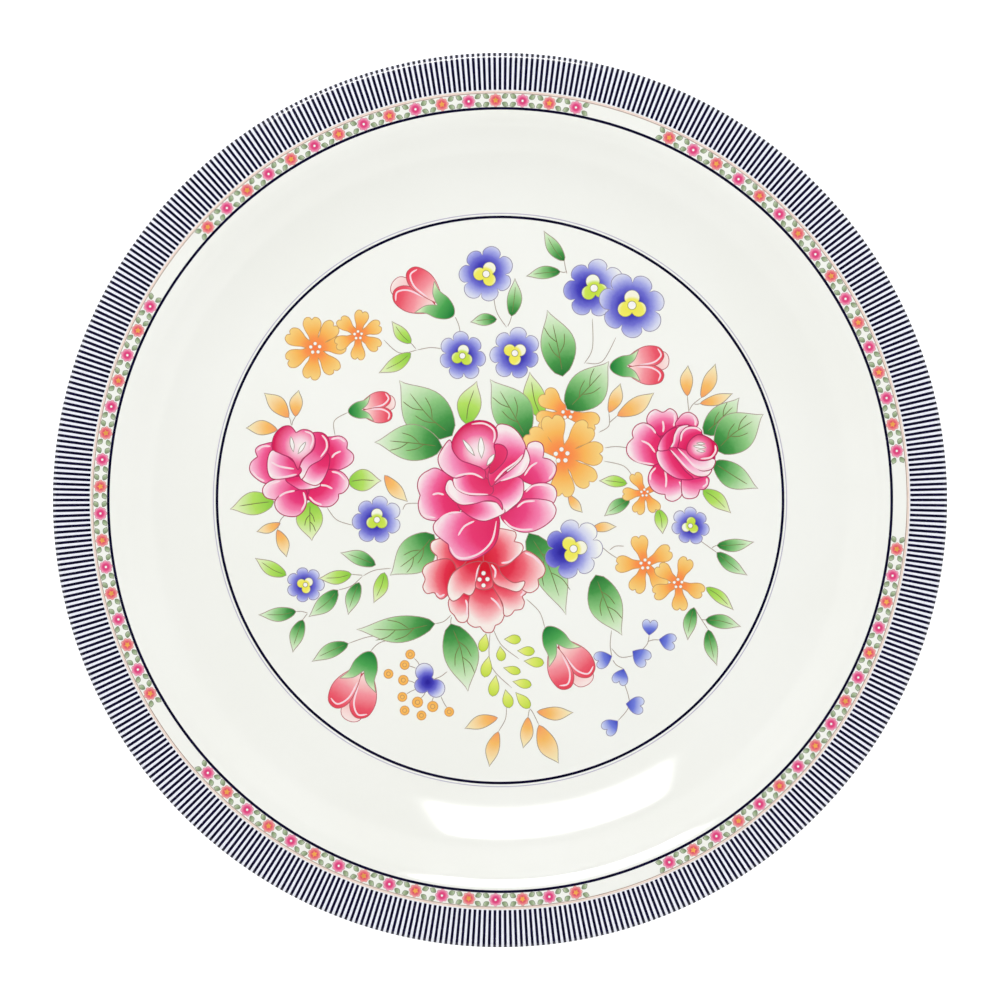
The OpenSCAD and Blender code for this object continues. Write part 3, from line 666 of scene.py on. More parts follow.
RIGHT_ROSE = [
    ("rose_deep", [46, 15, 50, 20, 58, 20, 62, 14, 60, 8, 54, 5, 48, 9], 90, 0, []),
    ("magenta", [44.6, 23.4, 45, 26, 47, 27.4, 49.4, 26.6, 51.6, 27.7, 53.6, 26, 53.6, 22.6, 51, 20,
     47, 19.6], 98, -0.02, [[52.8, 26, 53, 24, 52.6, 22.4], [49.3, 24, 49.6, 22.2, 49.4, 20.6]]),
    ("magenta", [53.2, 22.6, 54.2, 24.8, 55.6, 26.2, 57.6, 26.5, 59.6, 25, 59.9, 22.6, 57, 20.6], 82, 0,
     [[58.6, 25.4, 59.2, 24, 59.2, 22.6]]),
    ("rose", [47.6, 20, 46, 22.4, 43.6, 23.4, 41.2, 22.5, 40.1, 20.6, 40.4, 18.8, 40.4, 18.8, 38.6, 16.8,
     38.5, 14.2, 40.2, 12.2, 43.2, 11, 47.4, 10.4, 50, 13, 50, 17], 168, 0, [[42.8, 18, 45.2, 16.8,
     47, 14.4], [39.4, 13.4, 42, 11.6, 46.6, 10.8], [44.2, 22.9, 46, 21.8, 47.2, 20.2]]),
    ("rose", [48, 11, 45.6, 8.9, 44.9, 6, 46, 3.4, 48, 2, 50, 1.7, 50, 1.7, 50.4, 0.3, 52.4, -0.4,
     54.6, 0.8, 55.4, 3, 55.6, 7, 52, 9.4], 258, 0.02, [[47.2, 9.8, 45.7, 8, 45.5, 6], [50, 9, 50.4, 6.2,
     50.2, 3.8], [54.3, 5.6, 55, 4, 54.7, 1.6]]),
    ("magenta", [55.2, 7, 55.2, 1.7, 57, 0.4, 59.6, 1, 60.6, 3.2, 60.6, 3.2, 62, 3.3, 63.2, 4.8, 62.9, 7,
     58, 8.4], 272, 0, [[62.6, 6.6, 62.7, 5, 61.4, 3.9]]),
    ("rose", [47.6, 14, 48.5, 18, 51, 21, 54.4, 22.6, 58.6, 22.3, 61, 20.4, 65, 14, 64.4, 11, 63, 7.6,
     58, 6.3, 54, 6.5, 50, 8.8, 48, 11.4], 200, -0.2, []),
    ("rose", [47.6, 14.8, 47.9, 11.5, 50, 8.7, 54, 6.4, 58.6, 6.4, 56, 9, 53.4, 12.6, 51.4, 15.2], 214,
     -0.04, []),
    ("rose", [51.6, 15.4, 48, 15, 48.4, 17.6, 50.4, 20.4, 53.4, 22, 54, 20, 52.8, 17.4], 168, -0.2, []),
    ("rose_pale", [51.4, 15.6, 52.4, 17.4, 52.8, 19.8, 54.2, 22.2, 57.2, 22.8, 56, 21.6, 54.7, 20.2,
     54.4, 17.8, 54, 16], 140, 0, [[57, 22.5, 54.6, 21.8, 53.2, 19.8, 52.7, 17.4, 51.7, 15.8]]),
    ("rose", [54, 15.8, 54.4, 18, 54.9, 20.4, 56.6, 22.1, 59.2, 22.2, 61.2, 20.4, 58, 17, 56, 15], 122,
     -0.2, [[61, 20.8, 59.4, 21.8, 56.8, 21.7, 55.2, 20.2, 54.8, 17.8]]),
    ("rose_pale", [51.2, 15.4, 54, 12.6, 57, 9, 60, 7.2, 63, 7.4, 64.2, 9.4, 62, 9.2, 58.6, 10.6,
     56, 13.6, 53.6, 15.8], -48, 0, [[51.8, 15.1, 54.2, 12.4, 57.2, 9.2, 60, 7.6, 63, 7.8]]),
    ("rose_pale", [53.4, 15.8, 56, 13.4, 58.6, 10.4, 61.4, 8.8, 64.4, 9.6, 65, 12.4, 60, 12.6, 57, 14.8],
     -44, 0.05, [[54, 15.5, 56.4, 13, 59, 10.2, 61.6, 9.2, 64.2, 9.9]]),
    ("rose_heart", [56.6, 15, 57.4, 17.8, 60, 19.8, 63, 19, 65.6, 16.8, 65.9, 14.6, 64.2, 12.5, 61, 11.9,
     58.2, 13], (60.3, 15.8, 4.4), 0, [[65.2, 16.6, 65.3, 14.8, 63.8, 12.9, 60.8, 12.5]]),
]
PEONY = [
    ("coral", [-14, -16, -8, -11, 0, -11, 6, -17, 4, -24, -5, -27, -13, -23], 90, -0.5, []),
    ("coral", [-17, -11.4, -20.6, -12.6, -20.9, -15, -19.1, -17, -19.1, -17, -18.8, -19.2, -17.4, -20.9,
     -14, -21.2, -10, -18, -12, -11], 186, -0.06, [[-18.6, -17.6, -17.8, -19.9, -15.6, -20.8,
     -13.4, -20.5]]),
    ("coral", [-17, -17.8, -22, -19.4, -23.5, -21.6, -22.7, -24, -23.4, -26.4, -22.2, -28.3, -20, -28.1,
     -19, -29.4, -17.6, -30, -15.8, -28.6, -13, -24, -14, -19], 184, -0.04, [[-19.4, -28.1, -18.2, -29.2,
     -16.8, -28.6]]),
    ("coral", [-3, -9.4, 3.6, -9.3, 4.9, -10.6, 4.3, -12.6, 4.3, -12.6, 6.4, -13.2, 7, -14.8, 5.6, -17,
     2.6, -19.4, -1, -20.4, -5, -19], 28, -0.06, [[0.4, -19.1, 3, -18.6, 5.8, -16.2]]),
    ("coral", [-8, -27, -15, -29.6, -15.3, -33.2, -13.9, -34.9, -13.9, -34.9, -12.6, -36.8, -10.6, -37,
     -9.2, -35, -7, -30], 242, 0.05, [[-10.4, -30.2, -9.9, -32.4, -10.2, -35]]),
    ("coral", [-7, -24, -9.4, -30, -9.5, -35, -9.9, -37, -8, -38.5, -6, -38.4, -6, -38.4, -4.6, -40,
     -2.4, -40, -1.4, -38, -1.4, -38, 0.4, -37, 1.3, -34.4, 0.4, -31, -2, -26], 268, 0.1, [[-2.8, -29.6,
     -1, -31.2, 0.3, -33.2]]),
    ("coral", [-3, -24, 0.6, -31, 1.2, -34.8, 3, -35, 4.4, -33.4, 4.4, -33.4, 6.6, -33, 7.4, -31,
     6.8, -29.3, 7.9, -28.2, 7.4, -26.6, 4, -24.6], 292, 0, [[6.3, -26.4, 7.2, -27.8, 6.2, -29.1]]),
    ("coral", [-3, -21, 2, -19.8, 5.8, -16.8, 8, -15.4, 11.5, -17.4, 13.6, -20.4, 13.2, -22.8, 11.5, -24,
     11.5, -24, 11.6, -26.4, 9.6, -28, 7.4, -27.6, 4, -25, 0, -24], -16, -0.08, [[7.6, -16, 10.2, -17.3,
     12.7, -19.8]]),
    ("coral", [-4, -19.2, -2.8, -23, -1.2, -25.6, 2, -26.9, 5, -27.8, 6.8, -26.8, 7.4, -24.6, 4, -25,
     0.6, -22.6, -1, -19.6], -72, -0.02, [[-2.6, -19.6, -1.4, -21.4, -1.6, -23.6]]),
    ("coral", [-8, -18.8, -12, -20.4, -14.6, -22.6, -15.9, -26, -15.7, -29, -14.4, -30.6, -12.6, -30,
     -11, -28.3, -11, -28.3, -9, -28.9, -7.6, -27, -6.6, -22.6, -5.4, -19], 238, 0.06, [[-5.9, -19.5,
     -6.9, -21.8, -7.3, -25.6]]),
    ("coral", [-5.6, -19, -6.8, -23, -7.4, -26.4, -4.6, -27.2, -2.2, -26.2, -2.4, -23.6, -3.4, -19.2],
     268, -0.45, []),
]
PEONY_DOTS = [(-5, -22.2), (-6.2, -24.1), (-3.8, -24), (-5, -25.9)]
# White slits in the roses' hearts: two ends and a width
SLITS = [
    (-11.3, 18.3, -7.6, 13.3, 1.3), (-5.8, 19.1, -5.6, 12.5, 1.8), (-1.7, 13.9, -4.1, 10.3, 1.3),
    (-63.4, 19.2, -62.6, 14.5, 1.2), (-58.9, 17.6, -61.3, 13.9, 1.1),
    (58.6, 16.4, 62.6, 15.8, 0.9), (59.6, 17.2, 62.2, 17, 0.7), (59.6, 15, 62.3, 14.7, 0.7),
]
# Pansies: x, y, radius, turn, way they pale, how fast they pale, heart ink, way of the heart's pale lobe
PANSIES = [
    (28.5, 64.2, 9, 30, 10, 0.22, "lime_heart", 100),
    (40, 59, 9.9, 320, 20, 0.06, "yellow_heart", 90),
    (-4.2, 68.5, 8.3, 230, 290, 0.1, "yellow_heart", 60),
    (-11.4, 43.7, 7.2, 300, 150, 0.03, "lime_heart", 80),
    (4.5, 44.5, 7.7, 235, 120, 0.1, "yellow_heart", 30),
    (-37.3, -6, 7.3, 30, 35, 0.12, "lime_heart", 90),
    (-59, -25.7, 5.5, 0, 20, 0.05, "yellow_heart", 40),
    (22.3, -14.8, 8.9, 50, 14, 0.38, "yellow_heart", 10),
    (57.7, -7.8, 5.7, 140, 125, 0.08, "lime_heart", 200),
]
# Blossoms: x, y, petal length, petal width as a share of it, petal directions
BLOSSOMS = [
    (-56, 46, 9.4, 1, (98, 152, 206, 262, 312, 8, 52)), (-43, 50, 7.4, 1, (80, 140, 205, 270, 330, 25)),
    (20.5, 26.3, 9.6, 1.2, (142, 38, 200, -22)),
    (18.7, 13.5, 12.4, 1.0, (4, -42, -88, 48, 106, 148)),
    (44, -19.5, 8.8, 1.0, (105, 180, 250, 310, 30)), (54, -25.3, 8.1, 1.0, (70, 140, 205, 275, 340)),
    (43.8, 2.2, 6.6, 1.0, (120, 185, 250, 305, 30)),
]
# Buds: x and y of the stem end, length, direction
BUDS = [
    (-14, 56, 21, 148), (-46, 26.8, 14.5, 8), (33.3, 40.3, 18, 3), (-39, -46, 22, -112),
    (14, -38.5, 21.5, -58),
]
# Hearts: x and y of the point, size, direction
HEARTS = [
    (45.2, -41, 4.8, 85), (48.2, -42.3, 5.2, -12), (40.2, -45.8, 5.8, -35), (33.9, -47.3, 5.4, 200),
    (37.5, -51.2, 5, 250), (38.2, -61.8, 5.5, -8), (35.7, -67, 5.2, 218),
]
BERRIES = [
    (-27.2, -46.8, 1.4), (-28.9, -50, 1.4), (-33.8, -52.7, 1.4), (-29.3, -54.6, 1.5), (-29.6, -59.7, 1.4),
    (-25, -61.3, 1.6), (-28.9, -63.8, 1.4), (-23.8, -65.3, 1.4), (-20.4, -62.6, 1.6), (-15.4, -64.2, 1.4),
]
TREFOIL = [(-21.8, -55.3, 1.9), (-22.9, -52.2, 2.7), (-23.6, -56.2, 2.3), (-19.4, -57.1, 2.7)]
# Leaves: x and y of the stem end, x and y of the tip, width
DARK_LEAVES = [
    (-14.5, 19.5, -30.5, 36.2, 14), (-17.5, 16, -38, 17.5, 11), (8, 18.5, -3, 36.5, 12),
    (19, 37.5, 14.3, 57.5, 10.5), (-20, -10.5, -33.3, -22.8, 11),
    (-19.7, -37.5, -43.5, -39.2, 8), (-14.9, -37.5, -9.7, -58, 10.5), (8.7, -10, 20, -34.8, 10),
    (29, -22.7, 37, -41, 10), (61.8, 20, 72.5, 31, 8), (65.5, 15, 79.8, 26, 12),
    (64.7, 11.5, 78.2, 3.5, 7.4),
    (19.5, 72.5, 13.3, 81.6, 4), (18.3, 69.2, 7.9, 67.8, 3.8), (3.5, 55.7, 4.5, 67.2, 4.4),
    (-1, 54.8, -9, 53.9, 3.6), (-61.8, -33.8, -73.2, -34.8, 4.2), (-49.2, -27.3, -58, -35.4, 5),
    (-42.7, -25, -46, -34.8, 4.3), (-59.8, -36.3, -62.8, -46.2, 4.2), (-37.7, -19.7, -48.4, -16, 4.4),
    (-46, -43.5, -57, -49, 4.4), (65.7, -13.8, 77, -12.7, 3.8), (65.7, -15.9, 75, -22.8, 4),
    (58.8, -32.6, 56.9, -42.5, 3.9), (62.3, -36.3, 73, -38.4, 4.2), (63.1, -39.3, 65.8, -50.2, 3.9),
    (39.3, 0.2, 31.6, -4.9, 4),
]
OVER_LEAF = (20.3, 27.5, 33, 42, 11.5)
LIME_LEAVES = [
    (-10.3, 23, -7, 36, 7.2), (12.5, 25, 9, 38.8, 6.6), (-68.5, -0.5, -81.8, -2.8, 7),
    (-57.5, -0.5, -57, -12.3, 8), (-46, 5.5, -36, 5.8, 6.6), (61.5, 3, 70, -4, 4.6),
    (-27, 47.5, -32.8, 54.2, 3.7), (-27, 44.5, -36.8, 38.5, 4.2),
    (48, -2.8, 49.3, -10.3, 3.9), (38.5, 5, 30, 5.8, 3.4), (-64.8, -22.8, -74.2, -17.6, 4.2),
    (-45, -22.5, -55, -23.8, 4.1), (-35, -22, -38.3, -31.2, 4.2), (62.5, -26.5, 70.8, -33.4, 3.4),
]
ORANGE_LEAVES = [
    (-64, 25, -71.5, 32.4, 4.8), (-62, 25.3, -61, 33.3, 3.9), (-67.5, 21.3, -77, 21.8, 4.4),
    (-66.6, -7, -73.8, -9.6, 2.8), (-67.5, -9, -64.7, -17.3, 3.6), (-35, 7.5, -28, -0.5, 4),
    (33, 26.5, 36.5, 35.3, 3.9), (35.5, 25.5, 46.7, 32.5, 5), (56.8, 31.5, 57, 40.8, 3.8),
    (61, 31, 65.3, 41.3, 4), (60.6, 29.2, 70.5, 32.3, 3.2), (20.8, 1.5, 25, -3.8, 2.9),
    (27.5, -8.9, 35.3, -8.1, 2.9), (-0.7, -66, -10.7, -69.3, 4), (-0.5, -70.2, -3.2, -80.8, 4),
    (11.2, -64.2, 22.2, -64.4, 4), (8.5, -65.8, 7, -75.2, 3.8), (11.8, -68.2, 17.8, -79.8, 5.6),
]
# Seeds: x and y of the thin end, x and y of the round end, width
SEEDS = [
    (-4.2, -40.4, -5.5, -46, 3), (-3.3, -47.2, -4.7, -53.7, 3.3), (-1.2, -53, -2.3, -59.5, 3.2),
    (0, -44.3, 0.5, -48.8, 2.8), (1.2, -42.2, 6.3, -42.3, 2.8), (5.2, -45.7, 10.5, -45.9, 2.8),
    (7.2, -48.8, 13.3, -49.4, 3), (1, -50.8, 6.2, -52.2, 2.5), (3.8, -55, 9.5, -56.1, 2.8),
    (1.6, -57.4, 2.9, -63, 3.2), (4.7, -58.3, 9, -63, 3.1),
]
# Stems: start, a point on the way, end
STEMS = [
    ((-2, 62.5), (-1, 57), (2, 52.3)), ((2.3, 52.6), (3, 54), (3.5, 55.7)),
    ((-13.6, 55.5), (-12.5, 53), (-12, 50)),
    ((-35.2, 48.5), (-30.5, 44.6), (-25, 45.5)), ((-25, 45.5), (-21, 46.2), (-17.5, 45.8)),
    ((-25.5, 45.8), (-26.3, 46.8), (-27, 47.6)), ((-50, 19.5), (-50.2, 24), (-46, 26.6)),
    ((-63.1, 22.5), (-62.8, 23.8), (-62, 25.3)), ((-63.3, 22.7), (-63.5, 24), (-63.9, 25)),
    ((-65.3, -4.7), (-66.6, -6.2), (-67.4, -8.9)), ((-52.5, -2.2), (-49.5, -6), (-44.5, -7.7)),
    ((-29.5, -3), (-28.3, -1.2), (-24.5, -1)), ((-33, -20.7), (-38, -21.3), (-41.5, -23)),
    ((-41.6, -23), (-45, -26), (-49, -27.3)), ((-45, -22.5), (-43.2, -22.7), (-41.7, -22.8)),
    ((-58.3, -34.3), (-60, -33.8), (-61.8, -33.8)), ((-58.4, -34.5), (-59, -35.2), (-59.8, -36.3)),
    ((-46, -43.5), (-40, -41.5), (-34.5, -41)), ((-39.4, -46), (-36.5, -43.3), (-31.5, -42)),
    ((-19.7, -37.5), (-17, -36.8), (-14.8, -34.8)), ((-14.9, -37.5), (-14.9, -36.5), (-14.7, -35.4)),
    ((-20.3, -54.4), (-18, -53.5), (-16, -52)), ((-26, -48), (-25, -49), (-24.5, -50)),
    ((-27.5, -50.3), (-26.5, -50.6), (-25.5, -51)), ((-27.8, -54.8), (-26.8, -55), (-25.8, -55.5)),
    ((-28.3, -58.8), (-27, -58), (-25.6, -57.4)), ((-23.9, -60), (-23, -59), (-22.4, -57.8)),
    ((-20.6, -61), (-20.4, -60.4), (-20.2, -59.8)), ((-16.1, -62.9), (-17, -61.5), (-17.9, -59.6)),
    ((-3, -39.7), (-2.8, -50), (3.6, -57)), ((-2, -39.3), (0.5, -44), (5.8, -48.2)),
    ((2, -62.9), (1.6, -66.5), (-0.5, -70.2)), ((9, -63.2), (10, -64.5), (11.8, -68.2)),
    ((8.9, -63.5), (8.7, -64.5), (8.5, -65.8)), ((8, -30), (12, -34), (13.6, -38.8)),
    ((31, -14.3), (33, -16), (36, -18)), ((33.2, -15.2), (35, -14), (37.6, -14)),
    ((31.8, 15.8), (35.2, 16.2), (39.5, 15.7)), ((31.5, 11.8), (37.5, 10.3), (40.3, 7)),
    ((30, 20.5), (33, 22.5), (33, 26.5)), ((33.1, 23.4), (34, 24.2), (35.5, 25.5)),
    ((57.3, 26.5), (57, 29), (56.8, 31.5)), ((57.4, 27.2), (58.5, 29), (61, 31)),
    ((58.9, 29.1), (59.7, 29), (60.6, 29.2)), ((60.8, -12.4), (63, -14), (65.7, -15.9)),
    ((64.2, -14.6), (65, -14), (65.7, -13.8)), ((59, -32.7), (60.3, -35), (63.1, -39.3)),
    ((61, -36.2), (61.6, -36.3), (62.3, -36.3)), ((28, 55), (28, 46), (25.5, 41.3)),
    ((35.2, 49.4), (31, 42), (26, 41.5)), ((20.3, 68.6), (19.8, 70.5), (19.5, 72.5)),
    ((20.2, 69.2), (19.3, 69), (18.3, 69.2)), ((33.8, -39.5), (33.4, -44), (33.9, -47.3)),
    ((33.8, -45), (36.5, -47.6), (40.4, -47.2)), ((42.6, -45.9), (44.7, -43.5), (45.2, -41)),
    ((44.7, -42.9), (46.5, -42.4), (48.2, -42.4)), ((34.2, -48.5), (35.3, -50), (37.5, -51.2)),
    ((37.5, -55), (39.2, -62), (35.7, -67)),
]


def paint_petals(art, petals, key):
    """The petals of one big flower, back to front, each with its key line and pale strokes."""
    for ink, flat, way, shift, lights in petals:
        outline = spline(pairs(flat), True)
        shading = around(way[0], way[1], way[2]) if isinstance(way, tuple) else along(outline, way, shift)
        art.keyed(outline, ink, shading, key, 0.3)
        for points in lights:
            art.light(points, 0.58)


def leaf_outline(length, width, fullness, base=0.7, tip=1.35):
    """A leaf from its stem end at the origin to its tip on the x axis.

    fullness moves the widest place, base and tip set how blunt the two ends are.
    """
    steps = 14
    half = []
    for i in range(1, steps):
        t = i / steps
        half.append(width / 2 * math.sin(math.pi * t ** fullness) ** (base + (tip - base) * t))
    upper = [(length * (i + 1) / steps, h) for i, h in enumerate(half)]
    lower = [(x, -y) for x, y in upper]
    return [(0, 0)] + lower + [(length, 0)] + upper[::-1]


def bent(points, length, bend):
    """Points of a leaf along the x axis, with its middle moved sideways by bend."""
    return [(x, y + bend * math.sin(math.pi * x / length)) for x, y in points]


def paint_leaf(art, spot, ink, fullness=0.85):
    """A leaf. Green ones have a midrib, and side veins where they are wide enough."""
    x0, y0, x1, y1, width = spot
    length = math.hypot(x1 - x0, y1 - y0)
    turn = math.degrees(math.atan2(y1 - y0, x1 - x0))
    bend = 0.04 * length * (1 if (x0 + y1) % 2 > 1 else -1)
    outline = placed(bent(leaf_outline(length, width, fullness), length, bend), x0, y0, turn)
    art.keyed(outline, ink, along(outline, turn), "line_brown", KEY)
    veins = [] if ink == "orange_leaf" else [[(0.1, 0.0), (0.4, 0.01), (0.78, -0.01)]]
    if width > 7.5:
        for start, side in ((0.26, 1), (0.34, -1), (0.5, 1)):
            veins.append([(start, 0), (start + 0.12, side * 0.09), (start + 0.27, side * 0.13)])
    for vein in veins:
        line = spline(bent([(length * x, length * y) for x, y in vein], length, bend), False, 4)
        art.fill(placed(stroke(line, 0.26 if width > 6.5 else 0.18), x0, y0, turn), "line_vein")


def paint_seed(art, spot):
    """A drop-shaped seed."""
    x0, y0, x1, y1, width = spot
    turn = math.degrees(math.atan2(y1 - y0, x1 - x0))
    outline = placed(leaf_outline(math.hypot(x1 - x0, y1 - y0), width, 1.5, 0.8, 0.5), x0, y0, turn)
    art.keyed(outline, "seed", along(outline, turn), "line_olive", 0.16)


def paint_stem(art, start, middle, end):
    """A thin stem line."""
    art.fill(stroke(spline([start, middle, end], False, 8), KEY), "line_brown")


def scallops(r, count, depth, uneven=0.0):
    """A round outline with a scalloped edge, drawn out to an oval by the uneven share."""
    outline = []
    for i in range(count * 14):
        a = 2 * math.pi * i / (count * 14)
        radius = r * (1 - depth * (1 - math.sqrt(abs(math.cos(count * a / 2)))))
        radius *= 1 + uneven * math.cos(2 * a)
        outline.append((radius * math.cos(a), radius * math.sin(a)))
    return outline


def paint_pansy(art, spot):
    """A blue flower that pales to one side, with a three-lobed heart."""
    x, y, r, turn, way, pale, heart, heart_way = spot
    outline = placed(scallops(r, 7, 0.3, 0.05), x, y, turn)
    dark_x = x - pale * r * math.cos(math.radians(way))
    dark_y = y - pale * r * math.sin(math.radians(way))
    shading = around(dark_x, dark_y, PANSY_REACH * r)
    art.keyed(outline, "pansy", shading, "line_violet", KEY)
    lobes = []
    for k in range(3):
        a = math.radians(heart_way + 120 * k)
        lobes.append(circle(x + 0.235 * r * math.cos(a), y + 0.235 * r * math.sin(a), 0.225 * r))
    for lobe in lobes:
        art.fill(grown(lobe, KEY * 0.7), "line_olive")
    for lobe in lobes:
        art.fill(lobe, heart, around(x, y, 0.45 * r, heart_way))
    art.keyed(circle(x, y, 0.13 * r), "white_dot", PLAIN, "line_olive", 0.18)


NOTCHED = [
    0, -0.09, 0.22, -0.13, 0.42, -0.16, 0.6, -0.25, 0.78, -0.3, 0.94, -0.24, 0.99, -0.11, 0.92, -0.02,
    0.92, -0.02, 1.01, 0.05, 1, 0.19, 0.84, 0.28, 0.64, 0.25, 0.42, 0.16, 0.22, 0.13, 0, 0.09,
]


def paint_blossom(art, spot):
    """An orange flower of notched petals round one centre, with pale dots."""
    x, y, r, breadth, ways = spot
    unit = [(px, py * breadth) for px, py in pairs(NOTCHED)]
    petals = [spline(placed(unit, x, y, way, r), True, 4) for way in ways]
    for petal in petals:
        art.fill(grown(petal, KEY / 2), "line_orange")
    shading = around(x, y, r)
    for petal in petals:
        art.fill(grown(petal, -KEY / 2), "blossom", shading)
    art.fill(circle(x, y, 0.16 * r), "blossom", shading)
    for k in range(5):
        a = math.radians(20 + 72 * k)
        dot = circle(x + 0.15 * r * math.cos(a), y + 0.15 * r * math.sin(a), 0.05 * r + 0.1, 12)
        art.keyed(dot, "white_dot", PLAIN, "line_orange", 0.16)


BUD_PETALS = [
    ([0.3, 0.02, 0.5, 0.12, 0.74, 0.22, 0.94, 0.2, 1, 0.06, 0.92, -0.08, 0.6, -0.1], 180, []),
    ([0.24, 0.06, 0.4, 0.22, 0.62, 0.32, 0.84, 0.29, 0.92, 0.14, 0.8, 0, 0.5, -0.03], 12, [0.5, 0.01,
     0.74, 0.04, 0.87, 0.15, 0.82, 0.27]),
    ([0.24, -0.06, 0.42, -0.24, 0.62, -0.33, 0.84, -0.3, 0.9, -0.15, 0.76, -0.02, 0.46, 0], -12,
     [0.46, -0.02, 0.7, -0.05, 0.84, -0.16, 0.8, -0.28]),
]
CALYX = [
    0, 0, 0.06, 0.1, 0.2, 0.17, 0.36, 0.19, 0.5, 0.27, 0.5, 0.27, 0.42, 0.1, 0.28, 0, 0.28, 0, 0.42, -0.1,
    0.5, -0.27, 0.5, -0.27, 0.36, -0.19, 0.2, -0.17, 0.06, -0.1,
]


def paint_bud(art, spot):
    """A coral bud: three petals in a green calyx with two long points."""
    x, y, size, turn = spot
    for flat, lean, light in BUD_PETALS:
        outline = spline(placed(pairs(flat), x, y, turn, size), True)
        art.keyed(outline, "bud", along(outline, turn + lean), "line_coral", KEY)
        if light:
            line = placed(pairs(light), x, y, turn, size)
            art.fill(stroke(spline(line, False, 6), 0.5), "rose_light")
    calyx = spline(placed(pairs(CALYX), x, y, turn, size), True)
    art.keyed(calyx, "calyx", along(calyx, turn), "line_brown", KEY)


HEART = [
    0, 0, 0, 0, 0.3, 0.27, 0.46, 0.52, 0.47, 0.8, 0.3, 0.97, 0.1, 0.93, 0, 0.78, 0, 0.78, -0.1, 0.93,
    -0.3, 0.97, -0.47, 0.8, -0.46, 0.52, -0.3, 0.27,
]


def paint_heart(art, spot):
    """A small blue heart-shaped petal."""
    x, y, size, turn = spot
    outline = spline(placed(pairs(HEART), x, y, turn - 90, size), True, 4)
    art.keyed(outline, "heart", along(outline, turn), "line_violet", 0.2)


# Centre and reach of the trefoil's shading
TREFOIL_SHADING = (-21.9, -55.2, 6.6)


def paint_berries(art):
    """The orange berries, each with a ring, and the little blue trefoil among them."""
    for x, y, r in BERRIES:
        art.keyed(circle(x, y, r), "berry", around(x, y, r), "line_orange", 0.2)
        art.fill(circle(x, y, 0.5 * r), "line_orange")
        art.fill(circle(x, y, 0.34 * r), "berry", around(x, y, r))
    for x, y, r in TREFOIL:
        art.fill(grown(circle(x, y, r), 0.13), "line_violet")
    for x, y, r in TREFOIL:
        art.fill(circle(x, y, r - 0.1), "pansy", around(*TREFOIL_SHADING))


def paint_bouquet():
    """Everything printed in the well, from back to front."""
    art = Painting()
    for start, middle, end in STEMS:
        paint_stem(art, start, middle, end)
    for spot in ORANGE_LEAVES:
        paint_leaf(art, spot, "orange_leaf", 1.0)
    for spot in LIME_LEAVES:
        paint_leaf(art, spot, "lime_leaf")
    for spot in DARK_LEAVES:
        paint_leaf(art, spot, "dark_leaf")
    for spot in SEEDS:
        paint_seed(art, spot)
    for spot in HEARTS:
        paint_heart(art, spot)
    paint_berries(art)
    for spot in BUDS:
        paint_bud(art, spot)
    for spot in PANSIES:
        paint_pansy(art, spot)
    for spot in BLOSSOMS:
        paint_blossom(art, spot)
    paint_leaf(art, OVER_LEAF, "dark_leaf")
    paint_petals(art, PEONY, "line_coral")
    for x, y in PEONY_DOTS:
        art.keyed(circle(x, y, 0.72), "white_dot", PLAIN, "line_coral", 0.2)
    for rose in (LEFT_ROSE, RIGHT_ROSE, BIG_ROSE):
        paint_petals(art, rose, "line_rose")
    for x0, y0, x1, y1, width in SLITS:
        turn = math.degrees(math.atan2(y1 - y0, x1 - x0))
        slit = placed(leaf_outline(math.hypot(x1 - x0, y1 - y0), width, 1.0), x0, y0, turn)
        art.keyed(slit, "white_dot", PLAIN, "line_brown", 0.2)
    return art


# ---------------------------------------------------------------- the flower border
BORDER_R = 120.6
BORDER_RUNS = 5
BORDER_PAIRS = 8
BORDER_STEP = 3.86
BORDER_FLOWER_R = 1.95


def on_border(outline, turn, across=0, outwards=0, way=0.0):
    """An outline moved to the border row at an angle round the rim."""
    return placed(placed(outline, BORDER_R + outwards, across, way), 0, 0, turn)


def paint_border_flower(art, turn, pink):
    """One small flower of the border with four leaves round it, at an angle round the rim."""
    leaf = leaf_outline(2.1, 1.4, 1.0)
    for side in (-1, 1):
        for up in (-1, 1):
            outline = on_border(leaf, turn, side * 1.95, up * 0.75, side * 90 - side * up * 28)
            art.keyed(outline, "sage", along(outline, turn + side * 90), "line_sage", 0.16)
    ink = "border_pink" if pink else "border_coral"
    flower = on_border(scallops(BORDER_FLOWER_R, 8, 0.3)[::2], turn)
    c, s = math.cos(math.radians(turn)), math.sin(math.radians(turn))
    x, y = BORDER_R * c, BORDER_R * s
    art.keyed(flower, ink, around(x, y, BORDER_FLOWER_R), "line_" + ink, 0.14)
    if pink:
        art.keyed(circle(x, y, 0.42, 10), "border_dot", PLAIN, "line_" + ink, 0.14)
    else:
        star = [((1.0, 0.5)[i % 2], 36.0 * i) for i in range(10)]
        points = [(q * math.cos(math.radians(a)), q * math.sin(math.radians(a))) for q, a in star]
        art.fill(on_border(points, turn), "border_star")


def paint_border():
    """Five runs of small flowers, alternately pink and coral."""
    art = Painting()
    run_start = (360 / BORDER_RUNS - BORDER_STEP * (2 * BORDER_PAIRS - 1)) / 2
    for run in range(BORDER_RUNS):
        for i in range(2 * BORDER_PAIRS):
            turn = run * 360 / BORDER_RUNS + run_start + BORDER_STEP * i
            paint_border_flower(art, turn, i % 2 == 0)
    return art


